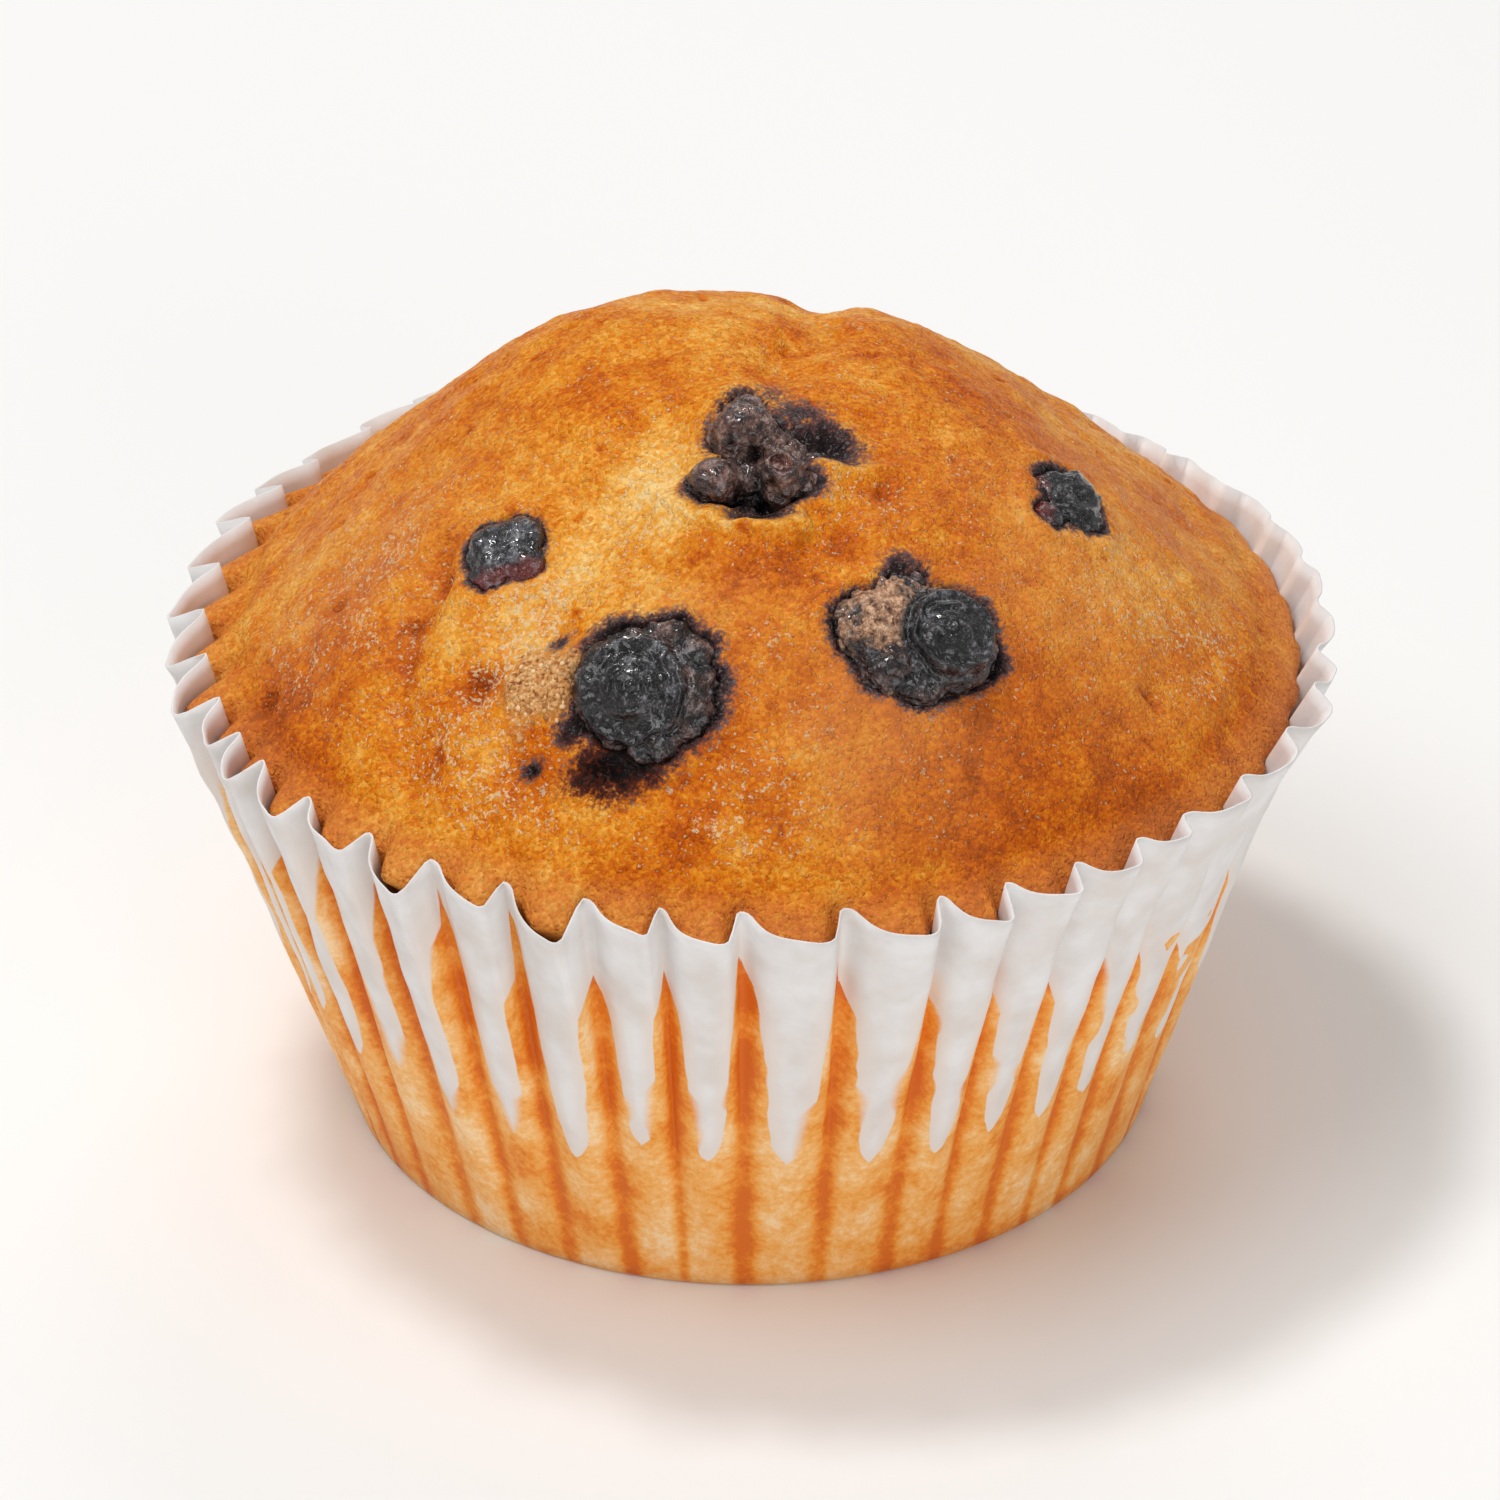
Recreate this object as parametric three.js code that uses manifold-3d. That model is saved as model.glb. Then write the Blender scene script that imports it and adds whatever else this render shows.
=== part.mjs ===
// A berry muffin in its pleated paper case.
// Units are millimetres, +Z is up, and the origin is the middle of the case's floor,
// on the plane that the muffin stands on. The muffin's front faces -Y.

import * as THREE from 'three';
import { mergeVertices } from 'three/addons/utils/BufferGeometryUtils.js';
import Module from 'manifold-3d';

const wasm = await Module();
wasm.setup();

// ---------------------------------------------------------------- driving dimensions

const PLEATS = 43; // pleats round the case
const FLOOR_RADIUS = 27; // flat floor of the case
const WALL_SLANT = 36.2; // paper from the floor's edge to the cut edge
const FOLD_RIM_RADIUS = 36.1; // inner folds at the cut edge
const RIDGE_RIM_RADIUS = 38.7; // outer ridges at the cut edge
const RIDGE_DROP = 0.5; // ridges are cut this much lower than the folds
const PAPER = 0.4; // thickness of the paper, doubled up as it is in a pleat
const GAP = 0.4; // clearance between neighbouring pieces

const CAKE_RADIUS = 35.3; // top edge of the cake
const CAKE_EDGE_HEIGHT = 33.4; // where the side turns into the crown
const CROWN_RISE = 20.4; // the crown's top above that edge
const CROWN_POWER = 2.15; // 2 is a parabola, more has a rounder shoulder
const FILLED_PART = 0.42; // share of the wall where the cake fills the pleats

// The pleats are uneven: each fold is moved by these waves round the case.
const PLEAT_WAVES = [
  { turns: 4, swing: 0.91, phase: 0.64 },
  { turns: 7, swing: 1.07, phase: -1.12 },
  { turns: 13, swing: 0.58, phase: -1.52 },
]; // swing in degrees

// On one side the upper wall leans out from the cake, with shallower pleats.
const LEAN = { towards: 20, outwards: 1.6, flatter: 0.45, starts: 0.35 };

// Broad swells and hollows of the crown.
const SWELLS = [
  { x: -9, y: 9, reach: 9, rise: 1.5 }, // highest lobe, behind on the left
  { x: 9, y: 9, reach: 8, rise: 0.6 }, // second lobe, right of the crack
  { x: 23, y: 4, reach: 9, rise: -0.9 }, // flatter right shoulder
  { x: -29, y: 4, reach: 9, rise: -0.8 }, // flatter left shoulder
  { x: 1, y: -17, reach: 6, rise: 1.2 }, // mound between the front berries
  { x: -9, y: -11, reach: 5, rise: -1.0 }, // hollow between the left berries
];

// The crack runs from the back of the crown to the middle berry.
const CRACK = { from: [4.5, 19], to: [1.5, -2], width: 2.6, depth: 1.9 };

// Berries: place on the crown, half-axes along and across, height, turn and sink,
// which is how far the berry's middle lies under the crust.
const BERRIES = [
  { name: 'berry_middle', x: 1.2, y: -8.6, long: 4.9, wide: 4.5, high: 3.9, turn: 20, sink: 2.3 },
  { name: 'berry_left', x: -15.7, y: -12.9, long: 3.1, wide: 2.9, high: 2.8, turn: 60, sink: 1.5 },
  { name: 'berry_right', x: 20.5, y: -5.4, long: 3.4, wide: 2.7, high: 2.8, turn: 75, sink: 1.5 },
  { name: 'berry_front_left', x: -6.3, y: -24.2, long: 5.4, wide: 5.1, high: 4.6, turn: 30, sink: 2.3 },
  { name: 'berry_front_right', x: 10.4, y: -20.2, long: 5.9, wide: 4.9, high: 4.6, turn: 12, sink: 2.0 },
];

const BERRY_DETAIL = 2; // subdivisions of each berry's icosahedron
const BERRY_LUMPS = 0.05; // unevenness of a berry, as a share of its radius

// ---------------------------------------------------------------- small helpers

const radians = THREE.MathUtils.degToRad;
const mix = THREE.MathUtils.lerp;
const ease = THREE.MathUtils.smoothstep;

const swellAt = (distance, reach) => Math.exp(-((distance / reach) ** 2));

function distanceToSegment(x, y, [ax, ay], [bx, by]) {
  const along = ((x - ax) * (bx - ax) + (y - ay) * (by - ay)) / ((bx - ax) ** 2 + (by - ay) ** 2);
  const t = THREE.MathUtils.clamp(along, 0, 1);
  return Math.hypot(x - mix(ax, bx, t), y - mix(ay, by, t));
}

// ---------------------------------------------------------------- pleats

// Angle of a fold, counted from the front and to the right.
function foldAngle(index) {
  const around = (2 * Math.PI * index) / PLEATS;
  let angle = around - Math.PI / 2;
  for (const wave of PLEAT_WAVES) {
    angle += radians(wave.swing) * Math.sin(wave.turns * around + wave.phase);
  }
  return angle;
}

// Samples over one pleat: 0 is on a fold, 1 on a ridge. Folds are sharp, ridges round.
const PLEAT_PROFILE = [0, 0.72, 1, 0.72];
const AROUND = PLEATS * PLEAT_PROFILE.length;

const pleatSamples = [];
for (let pleat = 0; pleat < PLEATS; pleat += 1) {
  const start = foldAngle(pleat);
  const end = foldAngle(pleat + 1);
  PLEAT_PROFILE.forEach((height, step) => {
    pleatSamples.push({ angle: mix(start, end, step / PLEAT_PROFILE.length), height });
  });
}

const leanAt = (angle) => Math.max(0, Math.cos(angle - radians(LEAN.towards))) ** 2;

// A point of the case's outer face; up is 0 at the floor's edge and 1 at the cut edge.
function wallPoint({ angle, height }, up) {
  const lean = leanAt(angle);
  const depth = (RIDGE_RIM_RADIUS - FOLD_RIM_RADIUS) * (1 - LEAN.flatter * lean);
  const rimRadius = FOLD_RIM_RADIUS + depth * height;
  const rimHeight = Math.sqrt(WALL_SLANT ** 2 - (rimRadius - FLOOR_RADIUS) ** 2) - RIDGE_DROP * height;
  const outwards = LEAN.outwards * lean * ease(up, LEAN.starts, 1);
  return { angle, radius: mix(FLOOR_RADIUS, rimRadius, up) + outwards, z: rimHeight * up };
}

// ---------------------------------------------------------------- the crown's form

function crownHeight(x, y) {
  const share = Math.min(1, Math.hypot(x, y) / CAKE_RADIUS);
  let height = CAKE_EDGE_HEIGHT + CROWN_RISE * (1 - share ** CROWN_POWER);
  let relief = 0;
  for (const swell of SWELLS) {
    relief += swell.rise * swellAt(Math.hypot(x - swell.x, y - swell.y), swell.reach);
  }
  relief -= CRACK.depth * swellAt(distanceToSegment(x, y, CRACK.from, CRACK.to), CRACK.width);
  const edgeFade = 1 - ease(share, 0.86, 1);
  height += relief * edgeFade;
  return height;
}

// ---------------------------------------------------------------- closed meshes from rings

class RingMesh {
  constructor() {
    this.points = [];
    this.faces = [];
  }

  point(x, y, z) {
    this.points.push(x, y, z);
    return this.points.length / 3 - 1;
  }

  ring(corners) {
    return corners.map(({ angle, radius, z }) =>
      this.point(radius * Math.cos(angle), radius * Math.sin(angle), z));
  }

  // Joins two rings of equal length; the faces look away from the axis when lower comes first.
  join(lower, upper) {
    lower.forEach((corner, i) => {
      const next = (i + 1) % lower.length;
      this.faces.push(corner, lower[next], upper[next]);
      this.faces.push(corner, upper[next], upper[i]);
    });
  }

  // Joins a ring to one with half as many corners.
  joinHalved(lower, upper) {
    upper.forEach((corner, i) => {
      const next = (i + 1) % upper.length;
      const a = lower[2 * i];
      const b = lower[2 * i + 1];
      const c = lower[(2 * i + 2) % lower.length];
      this.faces.push(a, b, corner);
      this.faces.push(b, upper[next], corner);
      this.faces.push(b, c, upper[next]);
    });
  }

  // Closes a ring with a fan to a point on the axis side of it.
  cap(ring, tip, facesUp) {
    ring.forEach((corner, i) => {
      const next = ring[(i + 1) % ring.length];
      this.faces.push(...(facesUp ? [corner, next, tip] : [next, corner, tip]));
    });
  }

  geometry() {
    const geometry = new THREE.BufferGeometry();
    geometry.setAttribute('position', new THREE.Float32BufferAttribute(this.points, 3));
    geometry.setIndex(this.faces);
    return geometry;
  }
}

// ---------------------------------------------------------------- paper case

const WALL_STEPS = [0, 0.25, 0.6, 1];

function paperCaseGeometry() {
  const mesh = new RingMesh();
  const outerRings = WALL_STEPS.map((up) => mesh.ring(pleatSamples.map((sample) => wallPoint(sample, up))));
  const innerRings = WALL_STEPS.map((up) => mesh.ring(pleatSamples.map((sample) => {
    const outer = wallPoint(sample, up);
    return { angle: outer.angle, radius: outer.radius - PAPER, z: Math.max(outer.z, PAPER) };
  })));
  for (let step = 1; step < WALL_STEPS.length; step += 1) {
    mesh.join(outerRings[step - 1], outerRings[step]);
    mesh.join(innerRings[step], innerRings[step - 1]);
  }
  mesh.join(outerRings.at(-1), innerRings.at(-1));
  mesh.cap(outerRings[0], mesh.point(0, 0, 0), false);
  mesh.cap(innerRings[0], mesh.point(0, 0, PAPER), true);
  return mesh.geometry();
}

// ---------------------------------------------------------------- cake

const CAKE_WALL_STEPS = [0.03, FILLED_PART, 0.72, 0.95];
const CROWN_RINGS = [0.975, 0.93, 0.86, 0.77, 0.66, 0.55, 0.44, 0.33, 0.22, 0.11];

// The cake fills the pleats low down, and higher up it is round and clear of the ridges.
function cakeWallPoint(sample, up) {
  const inside = wallPoint(sample, up);
  const filledRadius = wallPoint({ angle: sample.angle, height: 1 }, FILLED_PART).radius - PAPER - GAP;
  const freeShare = Math.max(0, (up - FILLED_PART) / (1 - FILLED_PART));
  const roundRadius = up > FILLED_PART ? mix(filledRadius, CAKE_RADIUS, freeShare) : Infinity;
  const radius = Math.min(inside.radius - PAPER - GAP, roundRadius, CAKE_RADIUS);
  return { angle: sample.angle, radius, z: Math.max(inside.z, PAPER + GAP) };
}

function cakeGeometry() {
  const mesh = new RingMesh();
  const wallRings = CAKE_WALL_STEPS.map((up) =>
    mesh.ring(pleatSamples.map((sample) => cakeWallPoint(sample, up))));
  const crownCorners = pleatSamples.filter((sample, index) => index % 2 === 0);
  const crownRings = CROWN_RINGS.map((share) => mesh.ring(crownCorners.map(({ angle }) => {
    const radius = share * CAKE_RADIUS;
    return { angle, radius, z: crownHeight(radius * Math.cos(angle), radius * Math.sin(angle)) };
  })));
  for (let step = 1; step < wallRings.length; step += 1) {
    mesh.join(wallRings[step - 1], wallRings[step]);
  }
  mesh.joinHalved(wallRings.at(-1), crownRings[0]);
  for (let step = 1; step < crownRings.length; step += 1) {
    mesh.join(crownRings[step - 1], crownRings[step]);
  }
  mesh.cap(wallRings[0], mesh.point(0, 0, PAPER + GAP), false);
  mesh.cap(crownRings.at(-1), mesh.point(0, 0, crownHeight(0, 0)), true);
  return mesh.geometry();
}

// ---------------------------------------------------------------- berries

// A slightly lumpy ball; grow makes the pocket around it wider on every side.
function berryGeometry(berry, grow = 0) {
  const ball = new THREE.IcosahedronGeometry(1, BERRY_DETAIL);
  ball.deleteAttribute('normal');
  ball.deleteAttribute('uv');
  const geometry = mergeVertices(ball);
  const position = geometry.getAttribute('position');
  const corner = new THREE.Vector3();
  for (let i = 0; i < position.count; i += 1) {
    corner.fromBufferAttribute(position, i);
    const lump = Math.sin(3 * corner.x + berry.x) * Math.sin(4 * corner.y + berry.y) * Math.cos(3 * corner.z);
    corner.multiplyScalar(1 + BERRY_LUMPS * lump);
    position.setXYZ(i, corner.x, corner.y, corner.z);
  }
  geometry.scale(berry.long + grow, berry.wide + grow, berry.high + grow);
  geometry.rotateZ(radians(berry.turn));
  return geometry;
}

// The berry lies square to the crust, so it leans with the crown's slope.
function berryMatrix(berry) {
  const reach = 2;
  const slopeX = (crownHeight(berry.x + reach, berry.y) - crownHeight(berry.x - reach, berry.y)) / (2 * reach);
  const slopeY = (crownHeight(berry.x, berry.y + reach) - crownHeight(berry.x, berry.y - reach)) / (2 * reach);
  const outward = new THREE.Vector3(-slopeX, -slopeY, 1).normalize();
  const turn = new THREE.Quaternion().setFromUnitVectors(new THREE.Vector3(0, 0, 1), outward);
  const place = new THREE.Vector3(berry.x, berry.y, crownHeight(berry.x, berry.y));
  place.addScaledVector(outward, -berry.sink);
  return new THREE.Matrix4().compose(place, turn, new THREE.Vector3(1, 1, 1));
}

// ---------------------------------------------------------------- cutting the pockets

function toSolid(geometry) {
  const vertProperties = new Float32Array(geometry.getAttribute('position').array);
  const triVerts = new Uint32Array(geometry.getIndex().array);
  return new wasm.Manifold(new wasm.Mesh({ numProp: 3, vertProperties, triVerts }));
}

function toGeometry(solid) {
  const { vertProperties, triVerts } = solid.getMesh();
  const geometry = new THREE.BufferGeometry();
  geometry.setAttribute('position', new THREE.Float32BufferAttribute(Array.from(vertProperties), 3));
  geometry.setIndex(Array.from(triVerts));
  return geometry;
}

function cutPockets(cake) {
  let solid = toSolid(cake);
  for (const berry of BERRIES) {
    solid = solid.subtract(toSolid(berryGeometry(berry, GAP).applyMatrix4(berryMatrix(berry))));
  }
  return toGeometry(solid);
}

// ---------------------------------------------------------------- the muffin

const crustMaterial = new THREE.MeshStandardMaterial({ color: '#d38a3c', roughness: 0.75, metalness: 0 });
const paperMaterial = new THREE.MeshStandardMaterial({ color: '#e9e1da', roughness: 0.65, metalness: 0 });

function namedMesh(name, geometry, material) {
  geometry.computeVertexNormals();
  const mesh = new THREE.Mesh(geometry, material);
  mesh.name = name;
  return mesh;
}

const muffin = new THREE.Group();
muffin.add(namedMesh('paper_case', paperCaseGeometry(), paperMaterial));
muffin.add(namedMesh('cake', cutPockets(cakeGeometry()), crustMaterial));
for (const berry of BERRIES) {
  const material = new THREE.MeshStandardMaterial({ color: '#3a3038', roughness: 0.35, metalness: 0 });
  const mesh = namedMesh(berry.name, berryGeometry(berry), material);
  mesh.applyMatrix4(berryMatrix(berry));
  muffin.add(mesh);
}

export default muffin;
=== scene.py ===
"""Looks of a berry muffin in its pleated paper case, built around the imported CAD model."""

import math
from functools import partial

import bmesh
import bpy
import numpy as np
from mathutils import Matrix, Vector, noise
from mathutils.bvhtree import BVHTree


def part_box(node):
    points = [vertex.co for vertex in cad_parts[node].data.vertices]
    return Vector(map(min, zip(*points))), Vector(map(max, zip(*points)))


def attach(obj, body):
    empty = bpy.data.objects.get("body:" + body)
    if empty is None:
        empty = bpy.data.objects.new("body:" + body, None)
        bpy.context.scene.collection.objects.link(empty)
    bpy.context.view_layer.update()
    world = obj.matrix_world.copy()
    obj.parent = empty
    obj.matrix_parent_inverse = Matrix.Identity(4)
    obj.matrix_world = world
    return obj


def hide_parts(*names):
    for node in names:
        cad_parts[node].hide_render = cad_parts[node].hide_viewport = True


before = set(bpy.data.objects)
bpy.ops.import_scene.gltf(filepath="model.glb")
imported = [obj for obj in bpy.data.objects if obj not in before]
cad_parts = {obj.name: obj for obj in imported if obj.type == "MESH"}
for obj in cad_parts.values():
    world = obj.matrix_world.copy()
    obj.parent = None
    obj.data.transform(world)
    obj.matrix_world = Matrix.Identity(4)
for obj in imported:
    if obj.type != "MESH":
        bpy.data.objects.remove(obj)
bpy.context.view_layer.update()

# Sizes below are in millimetres unless they say otherwise; Blender's own unit is the metre.
MM = 0.001

# ------------------------------------------------------------------ the case's driving sizes
PLEATS = 43
FLOOR_RADIUS = 27.0
WALL_SLANT = 36.2
FOLD_RIM_RADIUS = 36.1
RIDGE_RIM_RADIUS = 38.7
RIDGE_DROP = 0.5
PAPER_THICKNESS = 0.12
PLEAT_WAVES = [(4, 0.91, 0.64), (7, 1.07, -1.12), (13, 0.58, -1.52)]  # turns, swing in degrees, phase
LEAN_TOWARDS = math.radians(-2)
LEAN_OUTWARDS = 1.6
TUCK_TOWARDS = math.radians(62)
TUCK_INWARDS = 1.8
LEAN_FLATTER = 0.55
LEAN_STARTS = 0.82
TUCK_STARTS = 0.35

# Pleat profiles as (place between two folds, share of the depth).
LOW_PROFILE = [(0, 0), (0.05, 0.12), (0.16, 0.50), (0.34, 0.86), (0.5, 1.0), (0.66, 0.86),
               (0.84, 0.50), (0.95, 0.12), (1, 0)]
RIM_PROFILE = [(0, 0), (0.06, 0.01), (0.13, 0.11), (0.22, 0.36), (0.34, 0.62), (0.50, 0.81),
               (0.70, 0.94), (0.85, 1.0), (0.90, 0.93), (0.94, 0.52), (0.97, 0.08), (1, 0)]
# Free paper hangs from the rim in tongues, and between and below them the paper touches the
# cake. At each height share: how far a tongue reaches to either side of its pleat's middle.
TONGUE_LEFT = [(0, -0.4), (0.34, -0.14), (0.37, 0.0), (0.385, 0.08), (0.42, 0.15), (0.48, 0.19),
               (0.61, 0.24), (0.73, 0.28), (0.87, 0.38), (1, 0.46)]
TONGUE_RIGHT = [(0, -0.4), (0.34, -0.14), (0.37, 0.0), (0.385, 0.12), (0.42, 0.22), (0.48, 0.28),
                (0.61, 0.34), (0.73, 0.38), (0.87, 0.45), (1, 0.50)]

# ------------------------------------------------------------------ the cake's driving sizes
CAKE_RADIUS = 35.2
CAKE_EDGE_HEIGHT = 33.4
CROWN_RISE = 20.4
CROWN_POWER = 2.15
FILLED_PART = 0.42  # share of the wall where the cake fills the pleats
SHOULDER_STARTS = 0.93  # share of the radius where the crown turns down into the case
SHOULDER_DROP = 1.0
CROWN_POINTS = 275  # points across the crown, about a quarter of a millimetre apart

# Broad swells and dips of the crown: x, y, reach and rise.
SWELLS = [(-9, 9, 9, 1.5), (9, 9, 8, 0.6), (24, 8, 10, -1.7), (-29, 4, 9, -0.8), (1, -17, 6, 1.2),
          (-9, -11, 5, -1.0)]

# Berries: the half-axes and turn are those of the CAD node that each one replaces.
BERRIES = {
    "berry_middle": dict(x=1.2, y=-8.6, long=4.9, wide=4.5, high=3.9, turn=20),
    "berry_left": dict(x=-15.7, y=-12.9, long=3.1, wide=2.9, high=2.8, turn=60),
    "berry_right": dict(x=20.5, y=-5.4, long=3.4, wide=2.7, high=2.8, turn=75),
    "berry_front_left": dict(x=-6.3, y=-24.2, long=5.4, wide=5.1, high=4.6, turn=30),
    "berry_front_right": dict(x=10.4, y=-20.2, long=5.9, wide=4.9, high=4.6, turn=12),
}

# Kinds of node that are used more than once.
MATH = "ShaderNodeMath"
RANGE = "ShaderNodeMapRange"
NOISE = "ShaderNodeTexNoise"
MIX = "ShaderNodeMix"
RAMP = "ShaderNodeValToRGB"
CURVE = "ShaderNodeFloatCurve"
VECTOR = "ShaderNodeVectorMath"
XYZ = "ShaderNodeCombineXYZ"
ATTRIBUTE = "ShaderNodeAttribute"
RANDOM = "FunctionNodeRandomValue"
BUMP = "ShaderNodeBump"
SURFACE = "ShaderNodeBsdfPrincipled"
OUTPUT = "ShaderNodeOutputMaterial"


# ------------------------------------------------------------------ helpers for nodes and meshes
def colour(code):
    """An sRGB hex code as linear RGBA."""
    channels = [int(code[i:i + 2], 16) / 255 for i in (1, 3, 5)]
    linear = [c / 12.92 if c <= 0.04045 else ((c + 0.055) / 1.055) ** 2.4 for c in channels]
    return (*linear, 1.0)


def add_node(tree, kind, inputs=(), operation=None, **settings):
    """Adds a node. inputs holds a value, a node or a socket for each of its first sockets, or maps
    names or numbers of its sockets to them."""
    node = tree.nodes.new(kind)
    if operation:
        node.operation = operation
    for name, value in settings.items():
        setattr(node, name, value)
    for key, value in inputs.items() if isinstance(inputs, dict) else enumerate(inputs):
        socket = node.inputs[key]
        if isinstance(value, bpy.types.NodeSocket):
            tree.links.new(value, socket)
        elif isinstance(value, bpy.types.Node):
            tree.links.new(value.outputs[0], socket)
        else:
            socket.default_value = value
    return node


def new_material(name, *attributes):
    """An empty node material, the adder of its nodes, Object coordinates in millimetres, and the
    piece's own attributes."""
    material = bpy.data.materials.new(name)
    material.use_nodes = True
    material.node_tree.nodes.clear()
    add = partial(add_node, material.node_tree)
    place = add("ShaderNodeTexCoord").outputs["Object"]
    in_mm = add(VECTOR, {0: place, "Scale": 1 / MM}, "SCALE")
    return material, add, in_mm, *[add(ATTRIBUTE, attribute_name=key).outputs["Fac"] for key in attributes]


def set_ramp(node, stops):
    """Gives a colour ramp its stops, as (place, hex code)."""
    ramp = node.color_ramp
    while len(ramp.elements) > 1:
        ramp.elements.remove(ramp.elements[-1])
    ramp.elements[0].position = stops[0][0]
    ramp.elements[0].color = colour(stops[0][1])
    for place, code in stops[1:]:
        ramp.elements.new(place).color = colour(code)
    return node


def set_curve(node, places):
    """Gives a float curve its points, as (in, out)."""
    curve = node.mapping.curves[0]
    curve.points[0].location = places[0]
    curve.points[1].location = places[-1]
    for place in places[1:-1]:
        curve.points.new(*place)
    node.mapping.use_clip = False
    node.mapping.update()
    return node


def placed(name, data):
    """An object with that data, linked to the scene."""
    made = bpy.data.objects.new(name, data)
    bpy.context.scene.collection.objects.link(made)
    return made


def mesh_object(name, points, faces, material, **attributes):
    """A smooth mesh from points in millimetres, with one float attribute for each keyword."""
    mesh = bpy.data.meshes.new(name)
    mesh.from_pydata((np.asarray(points) * MM).tolist(), [], faces)
    for key, values in attributes.items():
        mesh.attributes.new(key, "FLOAT", "POINT").data.foreach_set("value", np.asarray(values, float))
    mesh.polygons.foreach_set("use_smooth", [True] * len(mesh.polygons))
    mesh.materials.append(material)
    mesh.update()
    return placed(name, mesh)


def smooth_step(value, low, high):
    """0 below low, 1 above high and a smooth rise between them."""
    t = np.clip((value - low) / (high - low), 0, 1)
    return t * t * (3 - 2 * t)


def swell(distance, reach):
    """1 at a distance of 0, falling off softly to each side."""
    return np.exp(-(distance / reach) ** 2)


def zone_sum(x, y, zones):
    """Soft round zones laid over one another, each given as x, y, reach and strength."""
    return sum(strength * swell(np.hypot(x - zx, y - zy), reach) for zx, zy, reach, strength in zones)


def noise_at(points, size, offset=0.0, octaves=1):
    """Smooth noise from about -1 to 1, with features of that size."""
    shift = Vector((offset, 1.7 * offset, -offset))
    scaled = [Vector(p) / size + shift for p in points]
    if octaves == 1:
        return np.array([noise.noise(p) for p in scaled])
    return np.array([noise.fractal(p, 0.9, 2.1, octaves) for p in scaled])


def distance_to_path(x, y, path):
    """Distance from each point to a line through the given corners."""
    best = np.full(np.shape(x), np.inf)
    for (ax, ay), (bx, by) in zip(path, path[1:]):
        along = ((x - ax) * (bx - ax) + (y - ay) * (by - ay)) / ((bx - ax) ** 2 + (by - ay) ** 2)
        t = np.clip(along, 0, 1)
        best = np.minimum(best, np.hypot(x - ax - t * (bx - ax), y - ay - t * (by - ay)))
    return best


# ------------------------------------------------------------------ the form of case and crown
def fold_angle(index):
    """Angle of a fold of the case, counted from the front and to the right."""
    around = 2 * np.pi * np.asarray(index, float) / PLEATS
    angle = around - np.pi / 2
    for turns, swing, phase in PLEAT_WAVES:
        angle = angle + np.radians(swing) * np.sin(turns * around + phase)
    return angle


def crown_height(x, y):
    """Height of the crown without its fine relief."""
    share = np.minimum(1, np.hypot(x, y) / CAKE_RADIUS)
    height = CAKE_EDGE_HEIGHT + CROWN_RISE * (1 - share ** CROWN_POWER)
    height = height - SHOULDER_DROP * (np.maximum(0, share - SHOULDER_STARTS) / (1 - SHOULDER_STARTS)) ** 2
    return height + zone_sum(x, y, SWELLS) * (1 - smooth_step(share, 0.86, 1))


def crown_normal(x, y, reach=0.5):
    """Outward direction of the crown, as rows of unit vectors."""
    slope_x = (crown_height(x + reach, y) - crown_height(x - reach, y)) / (2 * reach)
    slope_y = (crown_height(x, y + reach) - crown_height(x, y - reach)) / (2 * reach)
    rows = np.stack([-slope_x, -slope_y, np.ones_like(slope_x)], axis=-1)
    return rows / np.linalg.norm(rows, axis=-1, keepdims=True)


# ------------------------------------------------------------------ the form of the berries
# Lobes of each berry: x, y, z and radius from the middle of its node, with z out of the crust.
# The first is the core. flat squeezes the whole berry along z, and skirt is a ring of small
# lobes where skin meets crust: how many, how far out, how high and how large. halo is how far
# its juice has spread into the crust.
FORMS = {
    "berry_middle": dict(
        lobes=[(0, -0.8, -0.6, 3.5), (-3.2, -3.4, 1.5, 1.7), (0.8, -3.4, 1.9, 1.8), (-1.4, 0.6, 1.9, 2.3),
               (-1.3, 3.0, 1.5, 1.5), (2.4, -3.0, 0.8, 1.3), (0.0, -1.6, 0.8, 1.9)],
        flat=1.0, skirt=(9, 3.2, 0.9, 0.8), blend=14, seed=3, halo=0.9),
    "berry_left": dict(
        lobes=[(0, 0, 0, 2.3), (0.9, 0.9, 0.7, 1.7), (-0.9, 0.8, 0.8, 1.7), (1.2, -1.1, 0.7, 1.3),
               (-1.1, -0.9, 0.6, 1.5)],
        flat=0.95, skirt=(6, 1.8, 0.9, 0.7), blend=14, seed=5, halo=0.5),
    "berry_right": dict(
        lobes=[(0, 0.2, -0.2, 2.6), (0.7, 1.6, 0.6, 2.1), (-1.3, -2.1, 0.8, 1.3), (1.2, -0.2, 0.6, 1.8),
               (-1.2, 1.0, 0.5, 1.7)],
        flat=0.95, skirt=(9, 2.1, 0.9, 0.7), blend=18, seed=8, halo=0.6),
    "berry_front_left": dict(
        lobes=[(-0.2, 0.0, 0, 4.3), (-1.0, 0.1, 0.6, 4.1), (1.1, -0.8, 0.6, 3.3), (0.2, -3.0, 0.9, 2.3)],
        flat=0.95, skirt=(13, 3.5, 1.9, 1.15), blend=20, seed=13, halo=1.1),
    "berry_front_right": dict(
        lobes=[(0, -0.3, -0.4, 3.9), (2.0, -0.3, 0.9, 3.7), (-2.8, -0.4, 0.9, 2.6), (-1.0, 2.1, 0.9, 1.9),
               (-1.4, -2.5, 1.0, 2.1), (0.8, -3.4, 1.0, 1.7)],
        flat=1.0, skirt=(7, 3.6, 1.1, 0.9), blend=20, seed=22, halo=0.8),
}
FINE_BERRIES = ("berry_front_left", "berry_front_right", "berry_middle")
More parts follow.
